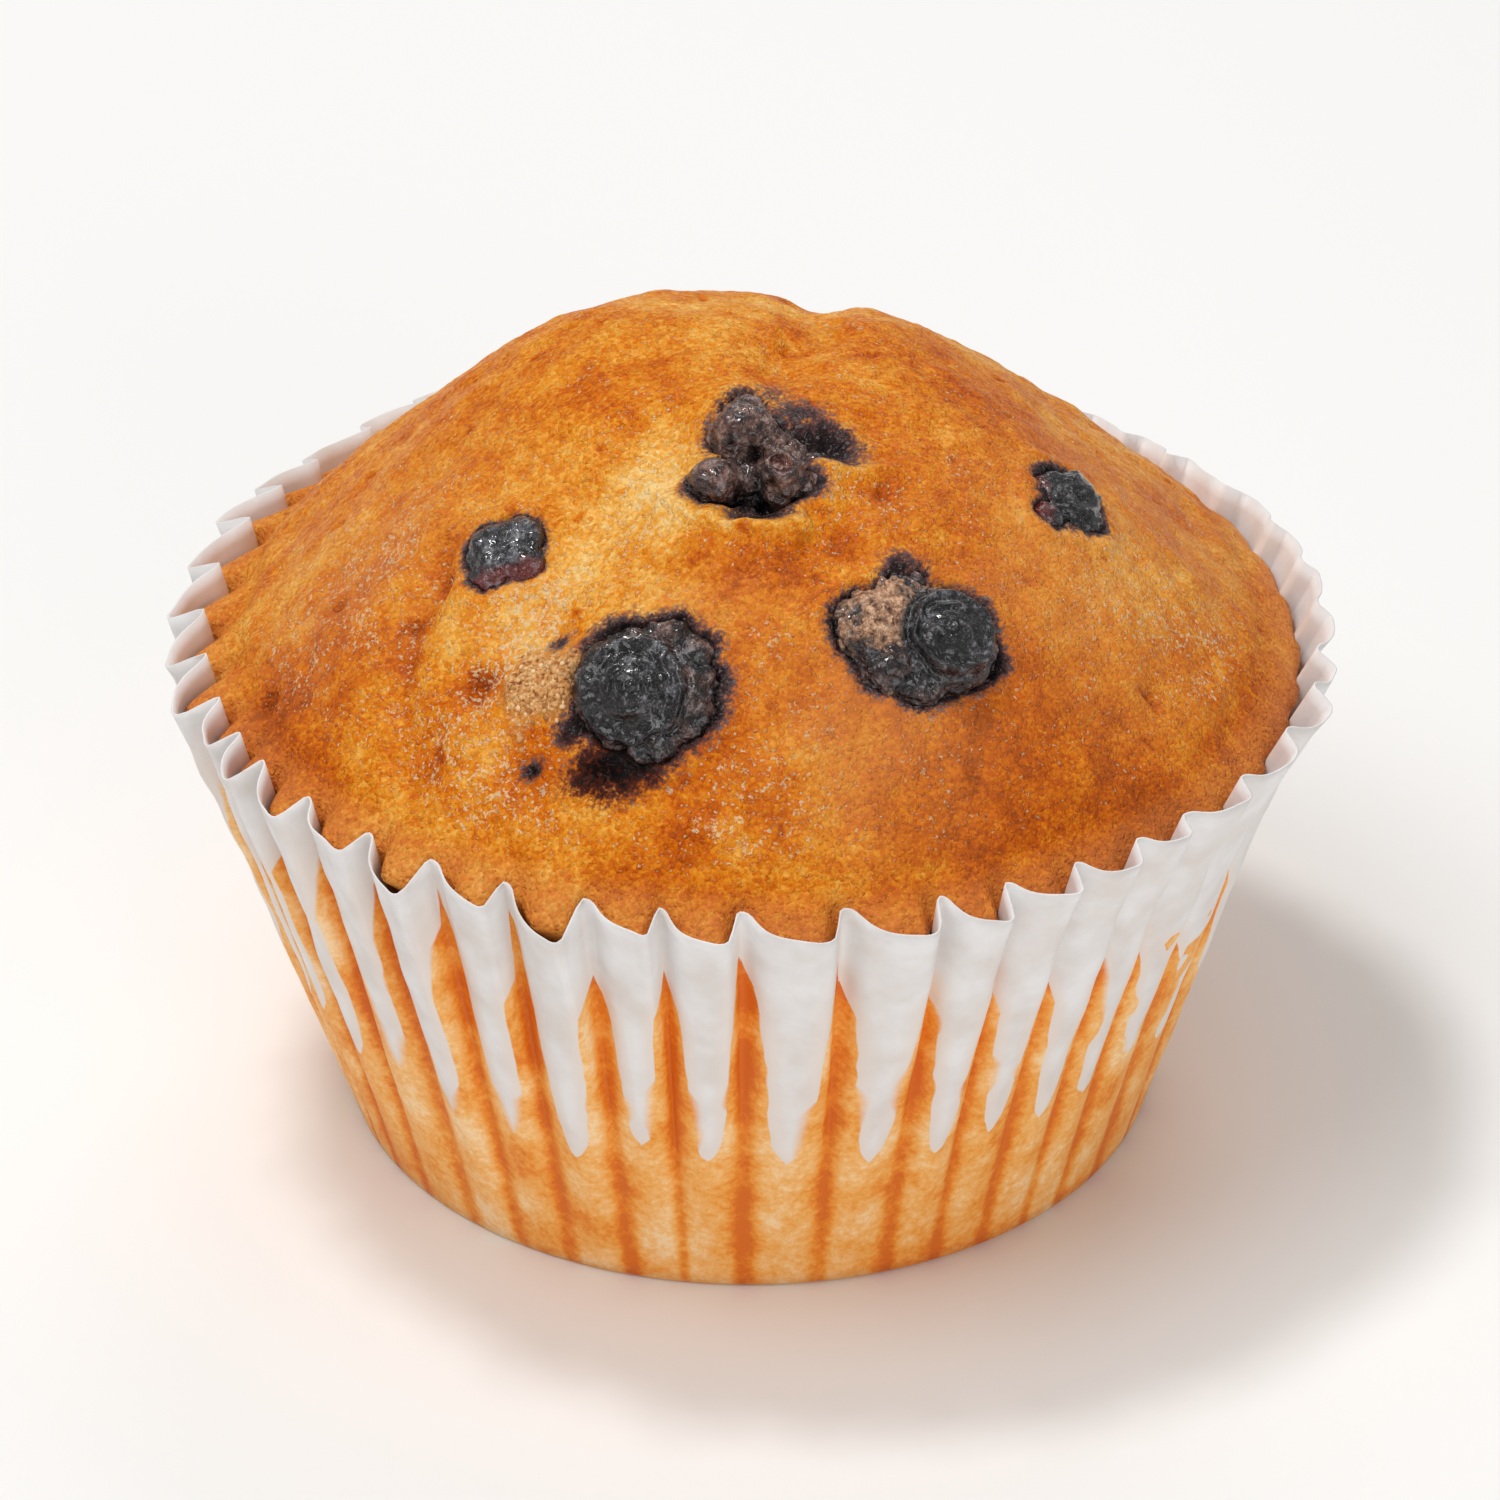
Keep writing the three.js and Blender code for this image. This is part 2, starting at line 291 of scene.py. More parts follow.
FINE_DIVISIONS = 7  # how often the faces of an icosahedron are divided for these, and for the others
PLAIN_DIVISIONS = 6
NEAR_BERRY = 12.0  # points farther than this from a berry's middle aren't measured


def berry_frame(name):
    """The middle of a berry's CAD node and the turn that lays it square to the crust."""
    berry = BERRIES[name]
    low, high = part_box(name)
    middle = np.array((low + high) / 2) / MM
    outward = Vector(crown_normal(np.array(berry["x"]), np.array(berry["y"]), reach=2.0))
    return middle, np.array(Vector((0, 0, 1)).rotation_difference(outward).to_matrix())


def skirt_lobes(count, distance, height, size, rng):
    """Small lobes round a berry where its skin meets the crust."""
    angles = 2 * np.pi * (np.arange(count) + rng.uniform(-0.3, 0.3, count)) / count
    out = distance * rng.uniform(0.93, 1.07, count)
    sizes = size * rng.uniform(0.7, 1.15, count)
    return list(zip(out * np.cos(angles), out * np.sin(angles), np.full(count, height), sizes))


def reach_of_lobes(directions, lobes, blend):
    """Distance along each direction to the outside of the lobes; a low blend melts them together."""
    total = np.zeros(len(directions))
    for x, y, z, radius in lobes:
        along = directions @ np.array([x, y, z])
        inside = radius ** 2 - (x * x + y * y + z * z) + along ** 2
        exits = np.where(inside > 0, along + np.sqrt(np.maximum(inside, 0)), 0)
        total += np.maximum(exits, 0) ** blend
    return total ** (1 / blend)


def berry_lobes(name):
    """All lobes of a berry, with its skirt."""
    form = FORMS[name]
    return form["lobes"] + skirt_lobes(*form["skirt"], np.random.default_rng(form["seed"]))


def berry_gap(points, name):
    """How far points lie outside a berry, in millimetres along lines from its middle, or infinity
    where they are far off."""
    middle, turn = berry_frame(name)
    offset = points - middle
    gap = np.full(len(points), np.inf)
    near = np.linalg.norm(offset, axis=-1) < NEAR_BERRY
    form = FORMS[name]
    local = offset[near] @ turn / [1, 1, form["flat"]]
    length = np.linalg.norm(local, axis=-1)
    gap[near] = length - reach_of_lobes(local / length[:, None], berry_lobes(name), form["blend"])
    return gap


# ------------------------------------------------------------------ relief and colour of the crust
# Features of the crust, in plan.
CRACK = [(5.2, 20), (4.0, 12), (4.6, 6), (2.4, 1)]
TROUGH = [(-5, -7.5), (-9.3, -12.0), (-12.3, -16.6), (-14.3, -18.5)]
GROOVE = [(-19.6, -10.5), (-21, -13.6), (-22.4, -18.3), (-21.9, -21.5), (-20.8, -24)]
LIP = [(-5.4, -13.0), (-3.6, -14.5), (-1.0, -15.6), (1.8, -16.0), (3.4, -15.4)]
SMALL_LIP = [(4.6, -10.6), (6.2, -10.2), (8.4, -9.2)]
TORN = [(-4.4, -17.6), (-1.0, -18.4), (2.6, -17.6), (5.4, -16.0)]
CRUMB_LINE = [(-3.2, -30.9), (-2.0, -31.2), (-0.7, -31.0)]
# Pores: x, y, radius and depth. Hollows: x, y, half-width, half-height and depth.
PITS = [(-17.5, -20.6, 0.85, 1.1), (-22.3, -14.2, 0.7, 0.8), (-19.7, -13.1, 0.6, 0.8),
        (-26.9, -8.9, 0.5, 0.8), (-31.4, -11.9, 0.6, 0.6), (8.7, -11.2, 0.6, 0.6),
        (26.0, -16.5, 0.5, 0.5), (14.2, -26.6, 0.45, 0.5)]
HOLLOWS = [(0.8, -14.2, 2.7, 1.2, 1.3), (0.0, -12.7, 2.4, 1.7, 1.8), (5.0, -8.0, 2.6, 1.8, 1.3),
           (-9.6, -27.6, 2.8, 0.8, 0.6), (-13.9, -26.4, 0.8, 0.5, 0.5)]
FLAP = (-13.2, -22.1)  # crumb pushed up beside the front left berry
PIT_SEED = 11
SMALL_PITS = 60
PITTED_PART = 0.94  # share of the crown's radius that has small pits


def small_pits():
    """Pores scattered over the crown: x, y, radius and depth."""
    rng = np.random.default_rng(PIT_SEED)
    radius = CAKE_RADIUS * PITTED_PART * np.sqrt(rng.random(SMALL_PITS))
    angle = 2 * np.pi * rng.random(SMALL_PITS)
    size = rng.uniform(0.16, 0.34, SMALL_PITS)
    depth = size * rng.uniform(0.5, 1.0, SMALL_PITS)
    return list(zip(radius * np.cos(angle), radius * np.sin(angle), size, depth))


def crown_relief(x, y, points, gap):
    """How far the crust stands out from the crown's plain form, and its masks for colour."""
    warp_x = x + 0.5 * noise_at(points, 1.6, 3.1)
    warp_y = y + 0.5 * noise_at(points, 1.6, 7.7)
    grain = noise_at(points, 0.62, 1.3)
    clumps = noise_at(points, 1.15, 5.2)
    relief = 0.5 * noise_at(points, 13, 2.4) + 0.3 * noise_at(points, 5.2, 4.0)
    relief += 0.22 * noise_at(points, 2.3, 9.0) + 0.09 * clumps + 0.055 * grain

    crack, trough, groove, lip, small_lip, torn, line = [
        swell(distance_to_path(warp_x, warp_y, path), reach)
        for path, reach in ((CRACK, 2.2), (TROUGH, 2.8), (GROOVE, 1.2), (LIP, 0.65), (SMALL_LIP, 0.6),
                            (TORN, 1.8), (CRUMB_LINE, 0.4))]
    lip = np.maximum(lip, 0.6 * small_lip)
    relief += -1.0 * crack - 0.6 * trough - 0.75 * groove + 0.7 * lip - 0.6 * torn + 0.3 * line
    relief += torn * (0.3 * np.abs(clumps) + 0.14 * grain)
    for hx, hy, wide, tall, depth in HOLLOWS:
        relief -= depth * swell(np.hypot((warp_x - hx) / wide, (warp_y - hy) / tall), 0.8)

    pores = np.zeros_like(x)
    for px, py, radius, depth in PITS + small_pits():
        near = (np.abs(x - px) < 4 * radius) & (np.abs(y - py) < 4 * radius)
        inside = swell(np.hypot(warp_x[near] - px, warp_y[near] - py), radius)
        relief[near] -= depth * inside
        pores[near] = np.maximum(pores[near], inside)

    from_flap = np.hypot((warp_x - FLAP[0]) / 3.2, (warp_y - FLAP[1]) / 2.9) + 0.25 * clumps
    flap = 1 - smooth_step(from_flap + 0.35 * noise_at(points, 3.0, 33.0), 0.45, 1.05)
    relief += flap * (0.45 + 0.45 * np.abs(clumps) + 0.22 * grain)

    ragged = gap + 0.35 * grain + 0.15 * clumps
    relief += 0.3 * swell(ragged - 0.9, 0.7) - 1.5 * (1 - smooth_step(ragged, -1.0, 0.2))
    masks = {"crack": crack, "trough": trough, "groove": groove, "torn": torn, "pore": pores,
             "flap": flap, "lip": lip}
    return relief, masks


# Dark blots beside the berries: x, y, half-width, half-height and strength. Most are juice. The two
# at (0.8, -14.3) and (0.0, -12.6), in the hollows in front of the middle berry, are painted shadow;
# the smear beside that berry and the blot between the front left berry and its flap are juice with
# painted shade.
JUICE_AND_SHADE_BLOTS = [(4.5, -7.9, 3.7, 2.9, 1.15), (3.1, -5.6, 3.0, 2.2, 0.8), (1.4, -3.6, 2.2, 1.8, 0.5),
         (0.8, -14.3, 3.4, 1.5, 1.0), (0.0, -12.6, 2.8, 2.2, 1.0), (-8.0, -27.6, 4.6, 2.2, 1.15),
         (-13.9, -26.4, 1.2, 0.7, 1.0), (-10.9, -25.2, 1.9, 1.5, 1.1), (-12.2, -20.1, 1.2, 0.7, 0.9),
         (9.6, -16.6, 1.8, 1.5, 0.9)]
# Zones of the crown: x, y, reach and strength. In the first the crust is browner, or where the
# strength is below 0 paler; the two at the left, at (-27, -12) and (-20, 6), are painted shade.
# In the last there are more cream flecks and painted glints.
BROWN_AND_SHADED_ZONES = [(20, -24, 11, 0.34), (29, -12, 8, 0.14), (14, 0, 9, 0.20), (-15, -26, 4, 0.09),
               (-27, -12, 8, 0.08), (-6, -10.5, 4, -0.14), (-6, -4.5, 4, 0.14), (-13, -17, 4, -0.12),
               (6, -27, 7, 0.12), (-3, -30, 5, 0.16), (-31, -14, 5, 0.25), (-9, 0, 5, 0.16),
               (-6, -19, 3, -0.14), (0, -25, 4, 0.08), (-6, -31, 4, 0.08), (22, -11, 8, -0.12),
               (-18.2, -20.5, 2, 0.34), (0, 22, 12, 0.08), (-20, 6, 12, 0.05)]
ROSY_ZONES = [(20, -13, 9, 0.8), (8, -26, 6, 1.0), (-3, -21, 4, 0.6), (26, 3, 8, 0.7),
              (-24, -7, 8, 0.6)]
FLECK_AND_GLINT_ZONES = [(-17, -27, 8, 0.38), (-19, -22, 6, 0.20), (0, -31, 6, 0.4), (-14, -18, 3, 0.7),
                 (-25, -8, 7, 0.55), (22, -11, 7, 0.3), (-7, -12, 5, 0.4), (29, -9, 6, 0.4),
                 (5, -11, 5, 0.4)]


def stain_and_shade_mask(x, y, points, gap, masks):
    """Where juice has soaked into the crust round the berries, and painted shadow in the hollows in front
    of the middle berry.
    """
    feather = 0.35 * noise_at(points, 0.4, 6.1) + 0.4 * noise_at(points, 1.3, 8.3)
    wide = 0.5 * noise_at(points, 3.2, 26.0)
    stain_and_shade = 1 - smooth_step(gap + feather + wide, -0.4, 1.7)
    # The blots include painted shadow in the hollows in front of the middle berry.
    for bx, by, wide, tall, strength in JUICE_AND_SHADE_BLOTS:
        reach = np.hypot((x - bx) / wide, (y - by) / tall) + 0.45 * feather
        stain_and_shade = np.maximum(stain_and_shade, strength * (1 - smooth_step(reach, 0.0, 1.3)))
    return np.minimum(stain_and_shade, 1) * (1 - 0.8 * masks["flap"]) * (1 - 0.7 * masks["lip"])


def bake_and_shade_mask(x, y, points, masks):
    """How brown the crust is, from 0, pale crumb, to 1, deep brown, with painted shade in two zones at the
    left.
    """
    share = np.hypot(x, y) / CAKE_RADIUS
    blotches = noise_at(points, 3.6, 14.0) + 0.5 * noise_at(points, 1.5, 16.0)
    bake_and_shade = 0.43 + 0.15 * noise_at(points, 9, 12.0) + 0.17 * blotches
    bake_and_shade += 0.06 * smooth_step(share, 0.90, 0.99)
    # The zones include painted shade at the left of the crown.
    bake_and_shade += zone_sum(x, y, BROWN_AND_SHADED_ZONES)
    bake_and_shade += 0.22 * masks["groove"] + 0.28 * masks["torn"] + 0.45 * masks["pore"]
    bake_and_shade += -0.06 * masks["crack"] - 0.10 * masks["trough"] - 0.2 * masks["lip"]
    return np.clip(bake_and_shade, 0, 0.86)


def rosy_mask(x, y, points, share):
    """Where the crust is drier and more peach than gold: at its edge, and in soft patches."""
    rosy = zone_sum(x, y, ROSY_ZONES) * (1 + 0.5 * noise_at(points, 4.0, 35.0))
    return np.clip(np.maximum(rosy, smooth_step(share, 0.95, 0.99)), 0, 1)


def fleck_and_glint_mask(x, y, points, share):
    """Where cream flecks of sponge show through the crust's brown skin, and painted glints on it, from 0 to
    1.
    """
    fleck_and_glint = 0.26 + 0.3 * noise_at(points, 3.0, 21.0) + 0.2 * noise_at(points, 1.2, 23.0)
    fleck_and_glint += zone_sum(x, y, FLECK_AND_GLINT_ZONES)
    fleck_and_glint = np.clip(fleck_and_glint, 0, 1) * (1 - smooth_step(share, 0.91, 0.98))
    return np.maximum(fleck_and_glint, 1.3 * swell(distance_to_path(x, y, CRUMB_LINE), 0.5))


# ------------------------------------------------------------------ cake
CAKE_SIDE_ROWS = 10
CAKE_INSET = 0.6  # between the cake and the case, at its floor and low in its wall
PLEAT_FILL = 0.6  # share of a pleat's depth that the cake fills
SIDE_STEP_IN = 0.2  # from the crown's edge to the side below it
SIDE_BAKE = 0.6
MEASURED_AT = 33.6  # height at which the crown's edge is fitted to the case
RAY_STEP = 0.25  # degrees between the directions measured
RAYS_BESIDE = range(-2, 3)  # rays that count for a direction, from two before it to two after
EDGE_CLEARANCE = 0.35  # between the crown's edge and the paper
FARTHEST_BULGE = 2.6  # of the crown's edge into a pleat
RAISED_EDGE = 0.9  # how far the crown's edge has risen against the paper, at the front left
RAISED_TOWARDS = math.radians(-121)


def disc_grid(count):
    """A square grid of points bent into a unit disc, its quads, and its rim in order."""
    line = np.linspace(-1, 1, count)
    u, v = np.meshgrid(line, line, indexing="ij")
    wide = np.abs(u) >= np.abs(v)
    reach = np.where(wide, u, v)
    safe = np.where(reach == 0, 1, reach)
    turn = np.where(wide, np.pi / 4 * v / safe, np.pi / 2 - np.pi / 4 * u / safe)
    number = np.arange(count * count).reshape(count, count)
    corners = [number[:-1, :-1], number[1:, :-1], number[1:, 1:], number[:-1, 1:]]
    quads = np.stack([c.ravel() for c in corners], axis=-1)
    rim = np.concatenate([number[:-1, 0], number[-1, :-1], number[:0:-1, -1], number[0, :0:-1]])
    return (reach * np.cos(turn)).ravel(), (reach * np.sin(turn)).ravel(), quads, rim


def pleat_share(angle):
    """How far each direction lies into a pleat: 0 at its folds, 1 past its middle."""
    folds = fold_angle(np.arange(-PLEATS, 2 * PLEATS + 1))
    at = np.searchsorted(folds, angle) - 1
    along = (angle - folds[at]) / (folds[at + 1] - folds[at])
    return np.sin(np.pi * along ** 1.35) ** 0.9


def case_inside_radius(angle, up):
    """Radius that the cake may fill inside the case."""
    fold = FLOOR_RADIUS + (FOLD_RIM_RADIUS - FLOOR_RADIUS) * up
    depth = (RIDGE_RIM_RADIUS - FOLD_RIM_RADIUS) * up
    return fold + depth * pleat_share(angle) * PLEAT_FILL - CAKE_INSET


def room_in_case(case):
    """Directions all round, and the radius that the crown's edge may fill in each of them."""
    paper = BVHTree.FromPolygons([v.co for v in case.data.vertices],
                                 [p.vertices[:] for p in case.data.polygons])
    angles = np.radians(np.arange(-180, 180, RAY_STEP))
    middle = Vector((0, 0, MEASURED_AT * MM))
    hits = [paper.ray_cast(middle, Vector((math.cos(a), math.sin(a), 0))) for a in angles]
    # A ray that runs through a corner of the mesh can miss it, and the next ones stand for it.
    reach = np.array([hit[3] or RIDGE_RIM_RADIUS * MM for hit in hits]) / MM - EDGE_CLEARANCE
    # Dough doesn't fill a sharp fold, so the radius is taken a little to both sides.
    reach = np.min([np.roll(reach, shift) for shift in RAYS_BESIDE], axis=0)
    return angles, np.mean([np.roll(reach, shift) for shift in RAYS_BESIDE], axis=0)


def cake_side(top, angle):
    """Rings of points from the crown's edge down to the underside, inside the case."""
    filled = FLOOR_RADIUS + (RIDGE_RIM_RADIUS - FLOOR_RADIUS) * FILLED_PART - CAKE_INSET
    rings = []
    for step in np.linspace(0, 1, CAKE_SIDE_ROWS + 1)[1:]:
        z = top[:, 2] * (1 - step) + CAKE_INSET * step
        up = z / (CAKE_EDGE_HEIGHT + 1)
        free = np.clip((up - FILLED_PART) / (1 - FILLED_PART), 0, 1)
        level = filled + (CAKE_RADIUS - filled) * free
        radius = np.minimum(level, case_inside_radius(angle, up))
        radius = np.minimum(radius, np.hypot(top[:, 0], top[:, 1]) - SIDE_STEP_IN)
        rings.append(np.stack([radius * np.cos(angle), radius * np.sin(angle), z], axis=-1))
    return np.concatenate([*rings, [[0, 0, CAKE_INSET]]])


def cake_faces(quads, rim, first):
    """Faces of the crown, and of the rings and the underside's middle, whose points come after it."""
    faces = [tuple(q) for q in quads.tolist()]
    above = rim
    for row in range(CAKE_SIDE_ROWS):
        below = first + row * len(rim) + np.arange(len(rim))
        faces += [tuple(f) for f in np.stack(
            [above, below, np.roll(below, -1), np.roll(above, -1)], axis=-1).tolist()]
        above = below
    last = first + CAKE_SIDE_ROWS * len(rim)
    return faces + [(int(a), last, int(b)) for a, b in zip(above, np.roll(above, -1))]


def fit_edge(plain, case, x, y, share):
    """Moves the edge of the crown out or in to meet the case, and up where it has risen on it."""
    around = np.arctan2(y, x)
    leaning = np.maximum(0, np.cos(around - LEAN_TOWARDS)) ** 2
    raised = np.maximum(0, np.cos(around - RAISED_TOWARDS)) ** 8
    angles, room = room_in_case(case)
    pressed = np.minimum(np.interp(around, angles, room, period=2 * np.pi) - CAKE_RADIUS, FARTHEST_BULGE)
    bulge = np.minimum(pressed, pressed * (1 - 0.8 * leaning) + 0.7 * leaning)
    plain[:, :2] *= (1 + bulge / CAKE_RADIUS * smooth_step(share, 0.955, 1))[:, None]
    plain[:, 2] += RAISED_EDGE * raised * smooth_step(share, 0.92, 1)


def make_cake(material, case):
    """The cake: a finely displaced crown, and a plainer side and underside inside the case."""
    disc_x, disc_y, quads, rim = disc_grid(CROWN_POINTS)
    x = disc_x * CAKE_RADIUS
    y = disc_y * CAKE_RADIUS
    share = np.hypot(disc_x, disc_y)
    plain = np.stack([x, y, crown_height(x, y)], axis=-1)
    gaps = np.array([berry_gap(plain, name) for name in BERRIES])
    halos = np.array([FORMS[name]["halo"] for name in BERRIES])
    gap = gaps.min(axis=0)
    relief, masks = crown_relief(x, y, plain, gap)
    fit_edge(plain, case, x, y, share)
    fade = 1 - 0.9 * smooth_step(share, 0.95, 1.0)
    crown = plain + crown_normal(x, y) * (relief * fade)[:, None]
    side = cake_side(crown[rim], np.arctan2(y[rim], x[rim]))

    stain_and_shade = stain_and_shade_mask(x, y, plain, (gaps / halos[:, None]).min(axis=0), masks)
    clear = smooth_step(gap, 0.1, 0.4) * (1 - smooth_step(stain_and_shade, 0.2, 0.5))
    on_crown = {
        "bake_and_shade": bake_and_shade_mask(x, y, plain, masks),
        "stain_and_shade": stain_and_shade,
        "torn": np.maximum(masks["torn"], masks["flap"]),
        "fleck_and_glint": fleck_and_glint_mask(x, y, plain, share),
        "rosy": rosy_mask(x, y, plain, share),
        "flap": masks["flap"],
        "crumbly": clear * masks["flap"],
        "wet": swell(np.hypot((x + 9.0) / 6.5, (y + 28.0) / 2.8), 1),
    }
    on_side = {"bake_and_shade": SIDE_BAKE, "rosy": 1.0}
    grown = {key: np.concatenate([values, np.full(len(side), on_side.get(key, 0.0))])
             for key, values in on_crown.items()}
    faces = cake_faces(quads, rim, len(crown))
    cake = mesh_object("cake_crust", np.concatenate([crown, side]), faces, material, **grown)
    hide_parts("cake")
    return cake


# ------------------------------------------------------------------ berries
def ball(divisions):
    """Unit directions and faces of a finely divided icosahedron."""
    shape = bmesh.new()
    bmesh.ops.create_icosphere(shape, subdivisions=divisions, radius=1.0)
    directions = np.array([v.co[:] for v in shape.verts])
    faces = [tuple(v.index for v in f.verts) for f in shape.faces]
    shape.free()
    return directions, faces


def ring_wrinkles(points, centre, radius):
    """The ring where a berry's flower sat, with finer rings inside it: relief, and the crests where
    highlights are painted.
    """
    wobble = 0.3 * noise_at(points, 1.3, 2.0)
    out = np.hypot(points[:, 0] - centre[0], points[:, 1] - centre[1]) + wobble
    upper = smooth_step(points[:, 2], 1.0, 2.5)
    broken = smooth_step(noise_at(points, 1.4, 12.0), -0.35, 0.25)
    inner = 0.09 * broken * np.cos(2 * np.pi * out / 0.95) * (1 - smooth_step(out, radius - 0.5, radius))
    ring = 0.16 * swell(out - radius, 0.22) - 0.16 * swell(out - radius - 0.45, 0.2)
    relief = upper * (ring + inner - 0.2 * (1 - smooth_step(out, radius - 0.6, radius)))
    arcs = smooth_step(noise_at(points, 1.1, 19.0), 0.0, 0.3)
    painted_highlight_crests = upper * arcs * (swell(out - radius, 0.16) + swell(out - 0.6 * radius, 0.14))
    return relief, painted_highlight_crests


# Each skin is added to the relief and the masks that every berry has.
def front_left_skin(points, relief, masks, patch, fleck):
    """Rings round the place of its flower, and swollen flesh opened outside them."""
    x, y = points.T[:2]
    rings, painted_highlight_crests = ring_wrinkles(points, (-0.9, -0.4), 3.2)
    relief += 1.4 * rings
    # Painted highlights along the ring crests.
    masks["bloom"] += 0.55 * painted_highlight_crests
    rim = smooth_step(np.hypot(x + 0.9, y + 0.4), 3.2, 3.8)
    relief += 0.05 * noise_at(points, 0.33, 8.0) + rim * (0.16 * noise_at(points, 0.7, 17.0))
    masks["flesh"] += 0.65 * rim * smooth_step(patch, -0.4, 0.5)


def front_right_skin(points, relief, masks, patch, fleck):
    """A glossy half with rings, and a half with crumb stuck to it."""
    x, y = points.T[:2]
    glossy = 1 - smooth_step(np.hypot(x - 1.9, y + 0.4), 3.0, 3.6)
    relief *= 1 - 0.3 * glossy
    rings, painted_highlight_crests = ring_wrinkles(points, (2.1, -0.2), 2.6)
    relief += 1.5 * rings * glossy
    # Painted highlights along the ring crests.
    masks["bloom"] += 0.55 * painted_highlight_crests * glossy
    stuck = swell(np.hypot((x + 2.4) / 1.1, (y - 0.4) / 1.1), 2.3) + 0.3 * noise_at(points, 1.5, 31.0)
    masks["coat"] += smooth_step(stuck + 0.25 * patch + 0.3 * fleck, 0.25, 0.7) * (1 - glossy)
    relief += (1 - glossy) * (0.22 * noise_at(points, 0.8, 4.0) + 0.12 * fleck)
    masks["flesh"] += 0.5 * (1 - glossy) * smooth_step(patch, -0.4, 0.5)
    relief += masks["coat"] * 0.12


def middle_skin(points, relief, masks, patch, fleck):
    """Burst and shrivelled: a small crater, two hollows, and flesh over most of it."""
    x, y, z = points.T
    crater = np.hypot(x - 0.9, y + 3.6)
    cavity = swell(np.hypot((x + 1.0) / 1.3, y + 1.7), 0.6) * smooth_step(z, 0.6, 1.6)
    hollow = swell(np.hypot(x + 0.7, y + 4.6), 0.9)
    relief += 0.3 * swell(crater - 0.95, 0.3) - 0.55 * (1 - smooth_step(crater, 0.55, 0.85))
    relief -= 1.5 * cavity + 0.7 * hollow
    relief += 0.35 * noise_at(points, 1.5, 15.0) + 0.3 * np.abs(noise_at(points, 0.8, 7.0))
    relief += 0.10 * fleck + 0.12 * patch
    # Flesh is kept out of the cavity and the hollow, so their dark skin is painted shade.
    masks["flesh"] += smooth_step(z + 0.9 * patch + 0.3 * fleck, 0.8, 2.6) * (1 - cavity) * (1 - hollow)
    masks["juice"] += 0.35 * (1 - smooth_step(crater, 0.5, 1.0))


def left_skin(points, relief, masks, patch, fleck):
    """Creased, with bloom left on its top and juice at its front."""
    y, z = points.T[1:]
    relief += 0.3 * np.abs(noise_at(points, 0.9, 2.0)) + 0.12 * patch
    masks["bloom"][:] = 0.75 * smooth_step(z + 0.8 * patch, 0.6, 2.2)
    masks["juice"] += smooth_step(-y + 0.5 * patch, 1.1, 1.7)


def right_skin(points, relief, masks, patch, fleck):
    """Lumpy, with a dent in its top and juice along its left."""
    x, y = points.T[:2]
    relief += 0.28 * noise_at(points, 0.8, 1.0) + 0.12 * np.abs(patch) + 0.1 * fleck
    relief -= 0.8 * swell(np.hypot(x - 0.7, y - 0.9), 0.7)
    masks["juice"] += smooth_step(-x - 0.2 * y + 0.6 * patch + 0.4 * fleck, 1.5, 2.3)


SKINS = {"berry_middle": middle_skin, "berry_left": left_skin, "berry_right": right_skin,
         "berry_front_left": front_left_skin, "berry_front_right": front_right_skin}


def skin_of(name, points):
    """Relief of a berry's skin, and its masks for bloom with painted highlights, stuck crumb, juice and
    opened flesh.
    """
    creases = np.abs(noise_at(points, 0.9, 13.0))
    relief = 0.09 * noise_at(points, 1.1, 3.0) + 0.06 * noise_at(points, 0.5, 5.0)
    relief += 0.04 * noise_at(points, 0.26, 6.0) + 0.12 * creases
    masks = {"bloom": 0.08 * smooth_step(points[:, 2], 0.5, 2.5)}
    for key in ("coat", "juice", "flesh"):
        masks[key] = np.zeros(len(points))
    patch = noise_at(points, 1.0, 9.0)
    fleck = noise_at(points, 0.36, 11.0)
    SKINS[name](points, relief, masks, patch, fleck)
    return relief, masks


def make_berry(name, material):
    """A berry: the outside of its lobes, with the relief of its skin, laid square to the crust."""
    form = FORMS[name]
    directions, faces = ball(FINE_DIVISIONS if name in FINE_BERRIES else PLAIN_DIVISIONS)
    reach = reach_of_lobes(directions, berry_lobes(name), form["blend"])
    points = directions * reach[:, None] * [1, 1, form["flat"]]
    relief, masks = skin_of(name, points)
    middle, turn = berry_frame(name)
    points = (points + directions * relief[:, None]) @ turn.T + middle
    made = mesh_object(name + "_skin", points, faces, material, **masks)
    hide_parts(name)
    return made


# ------------------------------------------------------------------ geometry node trees
def geometry_tree(name, inputs, result="Geometry"):
    """A node tree with a named input for each entry: name -> value, or just the socket's kind."""
    tree = bpy.data.node_groups.new(name, "GeometryNodeTree")
    tree.interface.new_socket("Result", in_out="OUTPUT", socket_type="NodeSocket" + result)
    for label, value in inputs.items():
        kind = {int: "Int", float: "Float"}.get(type(value), value)
        socket = tree.interface.new_socket(label, in_out="INPUT", socket_type="NodeSocket" + kind)
        if kind != value:
            socket.default_value = value
    given = tree.nodes.new("NodeGroupInput").outputs
    return tree, partial(add_node, tree), given, tree.nodes.new("NodeGroupOutput").inputs[0]


def through(add, shape, steps):
    """Passes a shape through geometry nodes, each given by the end of its kind and its inputs."""
    for kind, inputs in steps:
        shape = add("GeometryNode" + kind, {"Geometry": shape, **inputs})
    return shape


def run_tree(target, tree, **values):
    """Puts a geometry tree on an object and sets inputs by name, through their identifiers."""
    modifier = target.modifiers.new(tree.name, "NODES")
    modifier.node_group = tree
    sockets = {s.name: s.identifier for s in tree.interface.items_tree if s.in_out == "INPUT"}
    for label, value in values.items():
        modifier[sockets[label.replace("_", " ")]] = value


